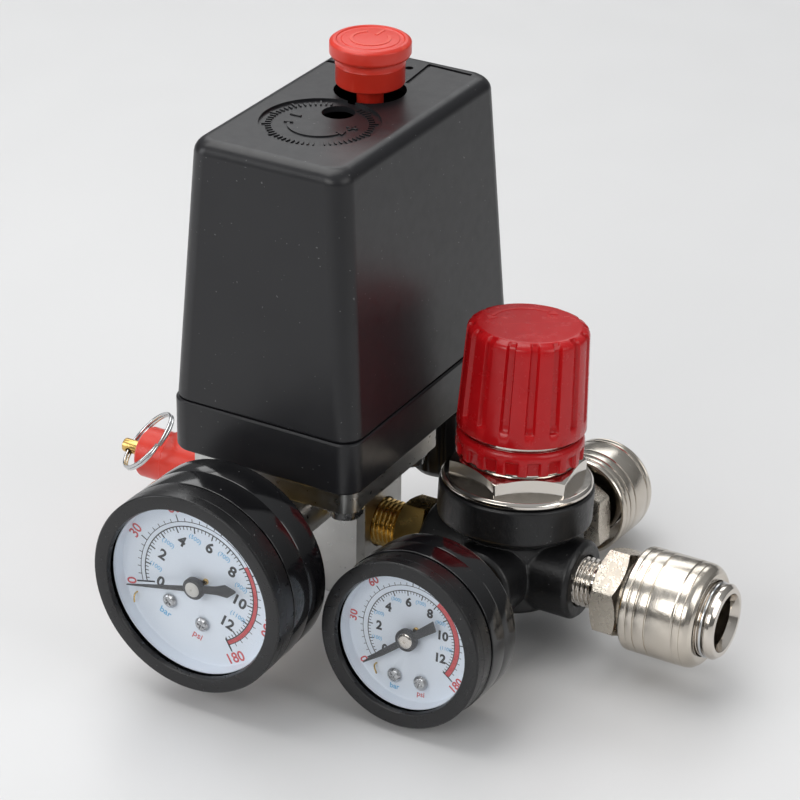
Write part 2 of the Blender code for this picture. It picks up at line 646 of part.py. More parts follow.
def boss_pair(radius, back, front):
    """Two opposite port bosses as one round bar with chamfered ends."""
    return turned([(0, -back), (radius - 1, -back), (radius, 1 - back), (radius, front - 1),
                   (radius - 1, front), (0, front)], 16)


def make_regulator(parent):
    barrel = turned([(0, LOWER_BOTTOM), (LOWER_RADIUS - 1.5, LOWER_BOTTOM), (LOWER_RADIUS, LOWER_BOTTOM + 1.5),
                     (LOWER_RADIUS, BARREL_BOTTOM - 2.5), (BARREL_RADIUS - 2.2, BARREL_BOTTOM),
                     (BARREL_RADIUS, BARREL_BOTTOM + 1.8), (BARREL_RADIUS, BARREL_TOP), (0, BARREL_TOP)])
    through_x = boss_pair(BOSS_RADIUS, INLET_BOSS, SIDE_BOSS)
    through_y = boss_pair(BOSS_RADIUS - 0.25, GAUGE_BOSS, REAR_BOSS)
    shapes = [pointing(through_x, (1, 0, 0)), pointing(through_y, (0, 1, 0))]
    chambers = turned([(0, -7.5), (5.0, -7.5), (5.0, 1.0), (2.9, 1.0), (2.9, 6.5), (9.0, 6.5), (9.0, 14.2),
                       (16.2, 14.2), (16.2, BARREL_TOP + 1), (0, BARREL_TOP + 1)], 20)
    tools = [chambers]
    inlet = (-1, 0, 0)
    ports = {inlet: (INLET_BOSS, BORE_1_4), (0, -1, 0): (GAUGE_BOSS, BORE_1_8),
             (1, 0, 0): (SIDE_BOSS, BORE_1_4), (0, 1, 0): (REAR_BOSS, BORE_1_4)}
    for direction, (reach, bore) in ports.items():
        tools.append(pointing(rod(bore, reach - 9.5, reach + 1), direction))
        if direction == inlet:
            tools.append(moved(pointing(rod(1.5, 3.0, reach - 8, HOLE_ROUND), direction), z=-3.4))
        else:
            tools.append(moved(pointing(rod(1.3, 6.2, reach - 8, HOLE_ROUND), direction), z=2.6))
            tools.append(moved(rod(1.4, 1.6, 7.0, 6), 7.1 * direction[0], 7.1 * direction[1]))
    body = cut(united(barrel, *shapes), *tools)
    piece("regulator_body", body, "black_paint", parent)
    make_bonnet(parent)
    make_lock_ring(parent)
    make_knob(parent)
    diaphragm = turned([(0, 14.5), (15.4, 14.5), (15.4, 15.5), (8.6, 15.5), (8.6, 17.4), (0, 17.4)], 24)
    piece("regulator_diaphragm", diaphragm, "rubber", parent)
    nut = turned([(3.2, 36.5), (9.4, 36.5), (9.4, 41.0), (3.2, 41.0)], 16)
    piece("spring_nut", nut, "brass", parent)
    spring = coil_spring(7.4, 0.8, 17.8, 36.2, 4.5)
    piece("regulator_spring", spring, "spring_steel", parent)
    poppet = turned([(0, -6.0), (1.6, -6.0), (1.6, -1.6), (4.0, -1.6), (4.0, 0.2), (1.1, 1.5), (1.1, 14.1),
                     (0, 14.1)], 12)
    piece("regulator_poppet", poppet, "brass", parent)


def make_bonnet(parent):
    skirt_bottom = 16.0
    shell = turned([(0, skirt_bottom), (15.8, skirt_bottom), (15.8, BARREL_TOP + GAP),
                    (BONNET_FLANGE_RADIUS, BARREL_TOP + GAP), (BONNET_FLANGE_RADIUS, BONNET_FLANGE_TOP - 0.6),
                    (BONNET_FLANGE_RADIUS - 0.6, BONNET_FLANGE_TOP), (NECK_RADIUS, BONNET_FLANGE_TOP),
                    (NECK_RADIUS, NECK_TOP), (0, NECK_TOP)], ROUND)
    grip = prism(hexagon(BONNET_HEX_AF, BONNET_HEX_TURN), BONNET_FLANGE_TOP - 0.8, BONNET_HEX_TOP)
    bonnet = cut(united(shell, grip), rod(11.5, 15, 43.0, 24), rod(3.4, 42, NECK_TOP + 1))
    piece("regulator_bonnet", bonnet, "nickel", parent)


def toothed_outline(outer, inner, count, share, phase=0.0):
    """Alternating arcs: outer over share of each pitch, inner over the rest."""
    outline = []
    pitch = math.tau / count
    for i in range(count):
        start = phase + pitch * (i - 0.5 * share)
        for radius, angle in ((outer, start), (outer, start + pitch * share),
                              (inner, start + pitch * share), (inner, start + pitch)):
            outline.append((radius * math.cos(angle), radius * math.sin(angle)))
    return outline


def make_lock_ring(parent):
    tabs = prism(toothed_outline(LOCK_RING_RADIUS, LOCK_RING_RADIUS - 0.8, LOCK_RING_TABS, 0.5),
                 LOCK_RING_BOTTOM, LOCK_RING_TOP)
    bore = rod(NECK_RADIUS + GAP, LOCK_RING_BOTTOM - 1, LOCK_RING_TOP + 1, ROUND)
    piece("lock_ring", cut(tabs, bore), "knob_red", parent)


def make_knob(parent):
    depth = 0.9

    def ribbed(z, radius):
        return [(x, y, z) for x, y in toothed_outline(radius, radius - depth, KNOB_GROOVES, 0.66)]

    def plain(z, radius):
        return [(x, y, z) for x, y in toothed_outline(radius, radius, KNOB_GROOVES, 0.66)]

    groove_bottom = 42.0
    share = (groove_bottom - KNOB_BOTTOM) / (KNOB_SHOULDER - KNOB_BOTTOM)
    groove_radius = KNOB_BOTTOM_RADIUS + (KNOB_TOP_RADIUS - KNOB_BOTTOM_RADIUS) * share
    sections = [plain(KNOB_BOTTOM, KNOB_BOTTOM_RADIUS), plain(groove_bottom, groove_radius),
                ribbed(groove_bottom + 0.3, groove_radius), ribbed(KNOB_SHOULDER, KNOB_TOP_RADIUS),
                ribbed(KNOB_SHOULDER + 1.3, KNOB_TOP_RADIUS - 0.7),
                plain(KNOB_SHOULDER + 1.6, KNOB_TOP_RADIUS - 1.7), plain(KNOB_TOP, KNOB_TOP_RADIUS - 2.4)]
    socket = rod(NECK_RADIUS + 0.4, KNOB_BOTTOM - 1, 46.0, ROUND)
    screw = rod(2.9, 26.0, 48.0)
    knob = united(cut(loft(sections), socket), screw)
    piece("regulator_knob", knob, "knob_red", parent)


# ---------------------------------------------------------------- couplers

def make_coupler(prefix, boss, hex_turn, parent):
    """Modelled along +Z from the regulator's axis; boss is the distance of the port face."""
    mouth = boss + COUPLER_MOUTH
    sleeve_end = boss + SLEEVE_END
    outer = turned([(0, boss - 7.5), (THREAD_1_4, boss - 7.5), (THREAD_1_4, boss + COUPLER_HEX_END - 2),
                    (9.6, boss + COUPLER_HEX_END - 2), (9.6, sleeve_end + 0.4), (8.8, sleeve_end + 0.4),
                    (8.8, sleeve_end + 1.9), (NOSE_RADIUS, sleeve_end + 1.9), (NOSE_RADIUS, mouth - 0.9),
                    (NOSE_RADIUS - 0.9, mouth), (0, mouth)], 24)
    grip = prism(hexagon(COUPLER_HEX_AF, hex_turn), boss + COUPLER_HEX_START, boss + COUPLER_HEX_END)
    bore = turned([(0, boss + 17), (MOUTH_BORE, boss + 17), (MOUTH_BORE, mouth - 0.6),
                   (MOUTH_BORE + 1.2, mouth + 0.6), (0, mouth + 0.6)], 20)
    body = cut(united(outer, grip), bore, rod(3.2, boss - 9, boss + 18, HOLE_ROUND))
    piece(f"{prefix}_body", body, "nickel", parent)
    start = boss + SLEEVE_START
    sleeve = turned([(12.7, start), (SLEEVE_RADIUS, start), (SLEEVE_RADIUS, start + 6.6),
                     (SLEEVE_RADIUS - 0.5, start + 7.1), (SLEEVE_RADIUS - 0.5, start + 8.2),
                     (SLEEVE_RADIUS, start + 8.7), (SLEEVE_RADIUS, sleeve_end - 3.0),
                     (SLEEVE_RADIUS - 0.9, sleeve_end - 0.9),
                     (SLEEVE_RADIUS - 2.0, sleeve_end), (9.95, sleeve_end), (9.95, start + 8.0),
                     (12.7, start + 8.0)], 24)
    piece(f"{prefix}_sleeve", sleeve, "nickel", parent)
    path = []
    for i in range(19):
        angle = math.radians(20 + 320 * i / 18)
        path.append((9.5 * math.cos(angle), 9.5 * math.sin(angle), sleeve_end + 1.15))
    piece(f"{prefix}_retaining_clip", sweep(path, 0.4, 0.4, 4), "spring_steel", parent)
    poppet = turned([(0, boss + 18.2), (2.4, boss + 18.2), (2.4, boss + 22), (6.3, boss + 22),
                     (6.3, boss + 24.2), (3.4, boss + 25.6), (0, boss + 25.6)])
    piece(f"{prefix}_poppet", poppet, "brass", parent)


# ---------------------------------------------------------------- assembly

def main():
    for existing in list(bpy.data.objects):
        bpy.data.objects.remove(existing, do_unlink=True)
    assembly = frame("assembly", None, (MANIFOLD_X, MANIFOLD_Y, PORT_HEIGHT))
    make_manifold(assembly)
    make_flange_bolts(assembly)
    make_switch_base(assembly)
    make_cover(assembly)
    make_switch_mechanism(assembly)
    make_button(assembly)
    make_gland(assembly)
    make_nipple(assembly)

    facing_reader = Matrix.Rotation(math.radians(90), 3, "X")
    tank_gauge = frame("tank_gauge_frame", assembly, (0, TANK_GAUGE_FACE_Y, GAUGE_PORT_Z), facing_reader)
    make_gauge(TANK_GAUGE, tank_gauge)

    outwards = Matrix.Rotation(math.radians(-90), 3, "Y")
    make_relief_valve(frame("relief_valve_frame", assembly, (0, 0, 0), outwards))

    tilt = Matrix.Rotation(math.radians(REGULATOR_TILT), 3, "X")
    regulator = frame("regulator_frame", assembly, (REGULATOR_X, 0, 0), tilt)
    make_regulator(regulator)
    outlet_gauge = frame("outlet_gauge_frame", regulator, (0, OUTLET_GAUGE_FACE_Y, 0), facing_reader)
    make_gauge(OUTLET_GAUGE, outlet_gauge)
    side = frame("side_coupler_frame", regulator, (0, 0, 0), Matrix.Rotation(math.radians(90), 3, "Y"))
    make_coupler("side_coupler", SIDE_BOSS, 10, side)
    rear = frame("rear_coupler_frame", regulator, (0, 0, 0), Matrix.Rotation(math.radians(-90), 3, "X"))
    make_coupler("rear_coupler", REAR_BOSS, 25, rear)


main()
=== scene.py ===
import math

import bmesh
import bpy
from mathutils import Matrix, Vector


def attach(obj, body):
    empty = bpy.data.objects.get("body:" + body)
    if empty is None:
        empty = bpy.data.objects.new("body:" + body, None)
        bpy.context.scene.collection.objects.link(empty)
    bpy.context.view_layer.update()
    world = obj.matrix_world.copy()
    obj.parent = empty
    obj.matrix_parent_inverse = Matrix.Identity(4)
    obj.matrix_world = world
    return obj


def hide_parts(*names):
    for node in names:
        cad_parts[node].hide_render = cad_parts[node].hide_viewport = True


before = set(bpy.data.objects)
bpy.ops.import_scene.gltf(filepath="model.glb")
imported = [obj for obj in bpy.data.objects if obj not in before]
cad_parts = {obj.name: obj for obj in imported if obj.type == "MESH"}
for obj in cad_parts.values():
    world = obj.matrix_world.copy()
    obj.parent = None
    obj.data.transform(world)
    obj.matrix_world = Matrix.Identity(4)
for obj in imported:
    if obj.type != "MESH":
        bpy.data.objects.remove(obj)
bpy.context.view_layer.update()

# ---------------------------------------------------------------- frames, lengths in millimetres
# Every piece is drawn in the frame of its own axis: +Z runs along the axis, as on a lathe.

MM = 0.001


def shift(x=0.0, y=0.0, z=0.0):
    return Matrix.Translation(Vector((x, y, z)) * MM)


def turn(degrees, axis):
    return Matrix.Rotation(math.radians(degrees), 4, axis)


ASSEMBLY = shift(-19.475, 6.83, 18.8)
REGULATOR_X = 49.15
REGULATOR_TILT = -5.2
REGULATOR = ASSEMBLY @ shift(x=REGULATOR_X) @ turn(REGULATOR_TILT, "X")
TANK_GAUGE = ASSEMBLY @ shift(0, -77.2, 14.15) @ turn(90, "X")
OUTLET_GAUGE = REGULATOR @ shift(0, -58.6, 0) @ turn(90, "X")
RELIEF = ASSEMBLY @ turn(-90, "Y")
NIPPLE = ASSEMBLY @ turn(90, "Y")
SIDE_COUPLER = REGULATOR @ turn(90, "Y")
REAR_COUPLER = REGULATOR @ turn(-90, "X")
CHAMBER_Y = -16.0               # places in the switch
RANGE_SCREW_Y = -4.6
BUTTON_Y = 10.85
GLAND_X = 15.7
GLAND_Y = 24.0
LATHE = 96                      # sides of a large turned piece
SMALL_LATHE = 48                # and of a small one
FINE_LATHE = 128                # and of one seen from close by
GAP = 0.3                       # between neighbouring pieces


# ---------------------------------------------------------------- mesh helpers

def circle(radius, height, count, start=0.0):
    step = math.tau / count
    return [(radius * math.cos(start + step * i), radius * math.sin(start + step * i), height)
            for i in range(count)]


def rounded(points, fillet=0.3, steps=3):
    """Outline with an arc at each corner; a point may carry its own radius as a third number."""
    result = []
    for i, point in enumerate(points):
        here = Vector(point[:2])
        radius = point[2] if len(point) > 2 else fillet
        before = Vector(points[i - 1][:2]) - here
        after = Vector(points[(i + 1) % len(points)][:2]) - here
        angle = before.angle(after, math.pi)
        if here.x == 0 or radius == 0 or angle > math.radians(172):
            result.append(tuple(here))
            continue
        reach = min(radius / math.tan(angle / 2), 0.48 * before.length, 0.48 * after.length)
        radius = reach * math.tan(angle / 2)
        middle = (before.normalized() + after.normalized()).normalized() * (radius / math.sin(angle / 2))
        first = before.normalized() * reach - middle
        last = after.normalized() * reach - middle
        swing = math.pi - angle
        for k in range(steps + 1):
            share = k / steps
            arm = (first * math.sin((1 - share) * swing) + last * math.sin(share * swing)) / math.sin(swing)
            result.append(tuple(here + middle + arm))
    return result


def loft(sections, close=False):
    """Closed solid through sections with equal point counts; close makes a ring without end faces."""
    bm = bmesh.new()
    rows = [[bm.verts.new(point) for point in section] for section in sections]
    count = len(rows[0])
    pairs = list(zip(rows, rows[1:]))
    if close:
        pairs.append((rows[-1], rows[0]))
    for lower, upper in pairs:
        for i in range(count):
            j = (i + 1) % count
            bm.faces.new((lower[i], lower[j], upper[j], upper[i]))
    if not close:
        bm.faces.new(list(reversed(rows[0])))
        bm.faces.new(rows[-1])
    bmesh.ops.recalc_face_normals(bm, faces=bm.faces)
    return bm


def turned(profile, count=LATHE):
    """Solid of revolution about Z from (radius, height) points; it may start and end on the axis."""
    bm = bmesh.new()
    rows = []
    for radius, height in profile:
        if radius == 0:
            rows.append([bm.verts.new((0, 0, height))])
        else:
            rows.append([bm.verts.new(point) for point in circle(radius, height, count)])
    pairs = list(zip(rows, rows[1:]))
    if profile[0][0] != 0:
        pairs.append((rows[-1], rows[0]))
    for lower, upper in pairs:
        for i in range(count):
            j = (i + 1) % count
            if len(lower) == 1:
                bm.faces.new((lower[0], upper[j], upper[i]))
            elif len(upper) == 1:
                bm.faces.new((lower[i], lower[j], upper[0]))
            else:
                bm.faces.new((lower[i], lower[j], upper[j], upper[i]))
    bmesh.ops.recalc_face_normals(bm, faces=bm.faces)
    return bm


def lathed(points, fillet, count=LATHE):
    """Solid of revolution whose outline has rounded corners."""
    return turned(rounded(points, fillet), count)


def rod(radius, low, high, count=SMALL_LATHE):
    return turned([(0, low), (radius, low), (radius, high), (0, high)], count)


def prism(outline, low, high):
    return loft([[(x, y, low) for x, y in outline], [(x, y, high) for x, y in outline]])


def block(x0, x1, y0, y1, z0, z1):
    return prism([(x0, y0), (x1, y0), (x1, y1), (x0, y1)], z0, z1)


def hexagon(across_flats, corner_degrees):
    points = circle(across_flats / math.sqrt(3), 0, 6, math.radians(corner_degrees))
    return [(x, y) for x, y, _ in points]


def rounded_rectangle(x0, x1, y0, y1, radius, steps=8):
    corners = ((x1 - radius, y1 - radius, 0), (x0 + radius, y1 - radius, 90),
               (x0 + radius, y0 + radius, 180), (x1 - radius, y0 + radius, 270))
    outline = []
    for cx, cy, start in corners:
        for i in range(steps + 1):
            angle = math.radians(start + 90 * i / steps)
            outline.append((cx + radius * math.cos(angle), cy + radius * math.sin(angle)))
    return outline


def sweep(path, radius, sides=10, close=False):
    """Round wire along a path, its section carried along without twisting."""
    points = [Vector(point) for point in path]
    count = len(points)
    upward = None
    sections = []
    for i, point in enumerate(points):
        before = points[i - 1] if close or i > 0 else point
        after = points[(i + 1) % count] if close or i < count - 1 else point
        tangent = (after - before).normalized()
        if upward is None:
            upward = tangent.orthogonal().normalized()
        upward = (upward - tangent * upward.dot(tangent)).normalized()
        across = tangent.cross(upward)
        sections.append([tuple(point + (across * math.cos(math.tau * k / sides)
                                        + upward * math.sin(math.tau * k / sides)) * radius)
                         for k in range(sides)])
    return loft(sections, close)


def moved(bm, x=0.0, y=0.0, z=0.0):
    bm.transform(Matrix.Translation((x, y, z)))
    return bm


def spun(bm, degrees, axis="Z"):
    bm.transform(Matrix.Rotation(math.radians(degrees), 4, axis))
    return bm


def pointing(bm, direction):
    bm.transform(Vector((0, 0, 1)).rotation_difference(Vector(direction)).to_matrix().to_4x4())
    return bm


def softened(bm, width=0.3, segments=3, sharper_than=28):
    """Round the edges where faces meet at an angle."""
    limit = math.radians(sharper_than)
    edges = [edge for edge in bm.edges if len(edge.link_faces) == 2 and edge.calc_face_angle(0) > limit]
    bmesh.ops.bevel(bm, geom=edges, offset=width, segments=segments, profile=0.5, affect="EDGES",
                    clamp_overlap=True)
    return bm


def linked(name, data):
    """New object with the given data, put into the scene."""
    made = bpy.data.objects.new(name, data)
    bpy.context.scene.collection.objects.link(made)
    return made


def mesh_from(name, bm):
    mesh = bpy.data.meshes.new(name)
    bm.to_mesh(mesh)
    bm.free()
    return mesh


def merged(*parts):
    """Several closed meshes in one."""
    result = bmesh.new()
    for part in parts:
        mesh = mesh_from("scratch", part)
        result.from_mesh(mesh)
        bpy.data.meshes.remove(mesh)
    return result


def scratch_object(bm):
    return linked("scratch", mesh_from("scratch", bm))


def evaluated(target):
    graph = bpy.context.evaluated_depsgraph_get()
    mesh = bpy.data.meshes.new_from_object(target.evaluated_get(graph))
    result = bmesh.new()
    result.from_mesh(mesh)
    bpy.data.meshes.remove(mesh)
    return result


def combined(base, tools, operation):
    target = scratch_object(base)
    cutters = [scratch_object(tool) for tool in tools]
    for cutter in cutters:
        step = target.modifiers.new("combine", "BOOLEAN")
        step.operation = operation
        step.solver = "EXACT"
        step.object = cutter
    result = evaluated(target)
    bmesh.ops.remove_doubles(result, verts=result.verts, dist=0.0002)
    for scratch in [target] + cutters:
        bpy.data.objects.remove(scratch, do_unlink=True)
    return result


def united(base, *tools):
    return combined(base, tools, "UNION")


def cut(base, *tools):
    return combined(base, tools, "DIFFERENCE")


def shared(base, *tools):
    return combined(base, tools, "INTERSECT")


def cast(bm, grain=0.35, smoothing=5):
    """Remesh a union finely and relax it, so that every edge gets the small fillet of a casting."""
    target = scratch_object(bm)
    remesh = target.modifiers.new("remesh", "REMESH")
    remesh.mode = "VOXEL"
    remesh.voxel_size = grain
    relax = target.modifiers.new("relax", "SMOOTH")
    relax.factor = 0.5
    relax.iterations = smoothing
    result = evaluated(target)
    bpy.data.objects.remove(target, do_unlink=True)
    return result


def chamfered_hex(across_flats, low, high, corner_degrees, edge=0.25, low_cone=True, high_cone=True):
    """Hexagon whose corners are turned off at one or both ends."""
    corner = across_flats / math.sqrt(3)
    flat = across_flats / 2
    drop = (corner - flat) * 0.62
    profile = [(0, low)]
    profile += [(flat * 0.985, low), (corner + 0.05, low + drop)] if low_cone else [(corner + 1, low)]
    profile += [(corner + 0.05, high - drop), (flat * 0.985, high)] if high_cone else [(corner + 1, high)]
    profile += [(0, high)]
    body = softened(prism(hexagon(across_flats, corner_degrees), low - 1, high + 1), edge, 2)
    return shared(body, turned(profile))


def quarter_inch(low, high, minor=5.7, count=72, steps=12):
    """Quarter-inch pipe thread."""
    return threaded(6.45, minor, low, high, 1.337, count, steps)


def threaded(major, minor, low, high, pitch, count=64, steps=10):
    """Screw thread with rounded crests that fades out at both ends."""
    rows = int((high - low) / pitch * steps)
    sections = []
    for i in range(rows + 1):
        z = low + (high - low) * i / rows
        fade = min(1.0, (z - low) / (0.8 * pitch), (high - z) / (0.8 * pitch))
        section = []
        for k in range(count):
            phase = z / pitch - k / count
            wave = (0.5 + 0.5 * math.cos(math.tau * phase)) ** 0.8
            radius = minor + (major - minor) * wave * fade
            angle = math.tau * k / count
            section.append((radius * math.cos(angle), radius * math.sin(angle), z))
        sections.append(section)
    return loft(sections)


def smooth_step(value):
    value = max(0.0, min(1.0, value))
    return value * value * (3 - 2 * value)


def wavy(rows, count, depth, share, flank=0.12, sides=24):
    """Sections of a turned wall with count lands and grooves.

    Each row is (radius, height, how deep the grooves are, 0 to 1); share is how much of the wall is land.
    """
    total = count * sides
    sections = []
    for radius, height, amount in rows:
        section = []
        for k in range(total):
            angle = math.tau * k / total
            place = abs(((angle / math.tau * count + 0.5) % 1.0) - 0.5) * 2
            groove = smooth_step((place - share + flank / 2) / flank)
            here = radius - depth * groove * amount
            section.append((here * math.cos(angle), here * math.sin(angle), height))
        sections.append(section)
    return sections


# ---------------------------------------------------------------- materials

LINT = (0.30, 0.30, 0.30)
ALONG_RINGS = 0.00025           # metres that the noise moves on for each radian along a turning mark


class Graph:
    """Short ways to add nodes to a material."""

    def __init__(self, name):
        self.material = bpy.data.materials.new(name)
        self.material.use_nodes = True
        self.tree = self.material.node_tree
        self.shader = self.tree.nodes["Principled BSDF"]
        self.output = self.tree.nodes["Material Output"]
        self.coords = self.tree.nodes.new("ShaderNodeTexCoord").outputs["Object"]

    def node(self, kind, inputs=None, **settings):
        made = self.tree.nodes.new(kind)
        for key, value in settings.items():
            setattr(made, key, value)
        for key, value in (inputs or {}).items():
            if isinstance(value, bpy.types.NodeSocket):
                self.tree.links.new(value, made.inputs[key])
            else:
                made.inputs[key].default_value = value
        return made

    def noise(self, scale, detail=2.0, vector=None):
        return self.node("ShaderNodeTexNoise", {"Vector": vector or self.coords, "Scale": scale,
                                                "Detail": detail}).outputs["Fac"]

    def ranged(self, value, low, high, to_low, to_high):
        return self.node("ShaderNodeMapRange", {"Value": value, "From Min": low, "From Max": high,
                                                "To Min": to_low, "To Max": to_high}).outputs["Result"]

    def lathe_space(self):
        """Coordinates in which a noise becomes fine rings around the axis, hardly changing along them."""
        parts = self.node("ShaderNodeSeparateXYZ", {"Vector": self.coords})
        flat = self.node("ShaderNodeCombineXYZ", {"X": parts.outputs["X"], "Y": parts.outputs["Y"], "Z": 0.0})
        length = self.node("ShaderNodeVectorMath", {0: flat.outputs["Vector"]}, operation="LENGTH")
        angle = self.node("ShaderNodeMath", {0: parts.outputs["Y"], 1: parts.outputs["X"]},
                          operation="ARCTAN2").outputs["Value"]
        slow = self.node("ShaderNodeMath", {0: angle, 1: ALONG_RINGS}, operation="MULTIPLY")
        return self.node("ShaderNodeCombineXYZ", {"X": length.outputs["Value"], "Y": slow.outputs["Value"],
                                                  "Z": parts.outputs["Z"]}).outputs["Vector"]

    def bump(self, height, distance, before=None):
        inputs = {"Height": height, "Distance": distance, "Strength": 1.0}
        if before is not None:
            inputs["Normal"] = before
        return self.node("ShaderNodeBump", inputs).outputs["Normal"]

    def mix(self, share, first, second):
        made = self.node("ShaderNodeMix", data_type="RGBA")
        self.tree.links.new(share, made.inputs["Factor"])
        for key, value in (("A", first), ("B", second)):
            socket = [one for one in made.inputs if one.name == key and one.type == "RGBA"][0]
            if isinstance(value, bpy.types.NodeSocket):
                self.tree.links.new(value, socket)
            else:
                socket.default_value = (*value, 1.0)
        return [one for one in made.outputs if one.type == "RGBA"][0]

    def link(self, value, socket):
        self.tree.links.new(value, self.shader.inputs[socket])


def surface(name, colour, other, roughness, metallic=0.0, patch=60.0, spread=0.06, grain=None, rings=None,
            dust=0.0, edge_highlight=None, edge=0.0, constants=None):
    """Material with drifting colour, uneven gloss, fine grain, turning marks, dust and a painted highlight on
    sharp edges.

    The colour drifts between colour and other in patches of about 1 / patch metres, and the roughness by
    spread. grain is (scale, depth in mm), rings the same for turning marks, dust an amount, edge_highlight
    the colour of a painted highlight on sharp outer edges and edge the radius in mm that the shading rounds
    edges by.
    """
    graph = Graph(name)
    shader = graph.shader
    shader.inputs["Metallic"].default_value = metallic
    for key, value in (constants or {}).items():
        shader.inputs[key].default_value = value
    drift = graph.noise(patch, 3.0)
    base = graph.mix(graph.ranged(drift, 0.35, 0.65, 0.0, 1.0), colour, other)
    # Sharp outer edges are mixed towards a lighter colour: a painted highlight on the edges that would catch
    # the light.
    if edge_highlight is not None:
        sharp = graph.node("ShaderNodeNewGeometry").outputs["Pointiness"]
        painted_edge_highlight_share = graph.ranged(sharp, 0.53, 0.62, 0.0, 0.5)
        base = graph.mix(painted_edge_highlight_share, base, edge_highlight)
    if dust:
        specks = graph.noise(1500.0, 0.0)
        spots = graph.ranged(specks, 0.845 - 0.02 * dust, 0.87, 0.0, 0.35)
        base = graph.mix(spots, base, LINT)
    graph.link(base, "Base Color")
    fine = graph.noise(patch * 9, 4.0)
    graph.link(graph.ranged(fine, 0.25, 0.75, roughness - spread, roughness + spread), "Roughness")
    normal = None
    if edge:
        normal = graph.node("ShaderNodeBevel", {"Radius": edge * MM}, samples=4).outputs["Normal"]
    if rings is not None:
        lines = graph.noise(rings[0], 2.0, graph.lathe_space())
        normal = graph.bump(lines, rings[1] * MM, before=normal)
    if grain is not None:
        normal = graph.bump(graph.noise(grain[0], 2.0), grain[1] * MM, before=normal)
    if normal is not None:
        graph.link(normal, "Normal")
    return graph.material


def glass(name, tint):
    """Flat window: clear straight on, with a reflection that grows towards grazing angles."""
    graph = Graph(name)
    facing = graph.node("ShaderNodeLayerWeight", {"Blend": 0.5}).outputs["Facing"]
    steep = graph.node("ShaderNodeMath", {0: facing, 1: 4.0}, operation="POWER").outputs["Value"]
    share = graph.ranged(steep, 0.0, 1.0, 0.022, 0.6)
    through = graph.node("ShaderNodeBsdfTransparent", {"Color": (*tint, 1.0)}).outputs["BSDF"]
    graph.shader.inputs["Base Color"].default_value = (0.9, 0.92, 0.95, 1.0)
    graph.shader.inputs["Metallic"].default_value = 1.0
    graph.link(graph.ranged(graph.noise(90.0, 2.0), 0.3, 0.7, 0.02, 0.07), "Roughness")
    mixed = graph.node("ShaderNodeMixShader", {"Fac": share})
    graph.tree.links.new(through, mixed.inputs[1])
    graph.tree.links.new(graph.shader.outputs["BSDF"], mixed.inputs[2])
    graph.tree.links.new(mixed.outputs["Shader"], graph.output.inputs["Surface"])
    return graph.material


def plastic_glow(depth):
    """Light that enters a coloured plastic a little, red deepest, with depth in millimetres."""
    return {"Subsurface Weight": 0.08, "Subsurface Scale": 1.0,
            "Subsurface Radius": (depth * MM, 0.1 * MM, 0.1 * MM)}
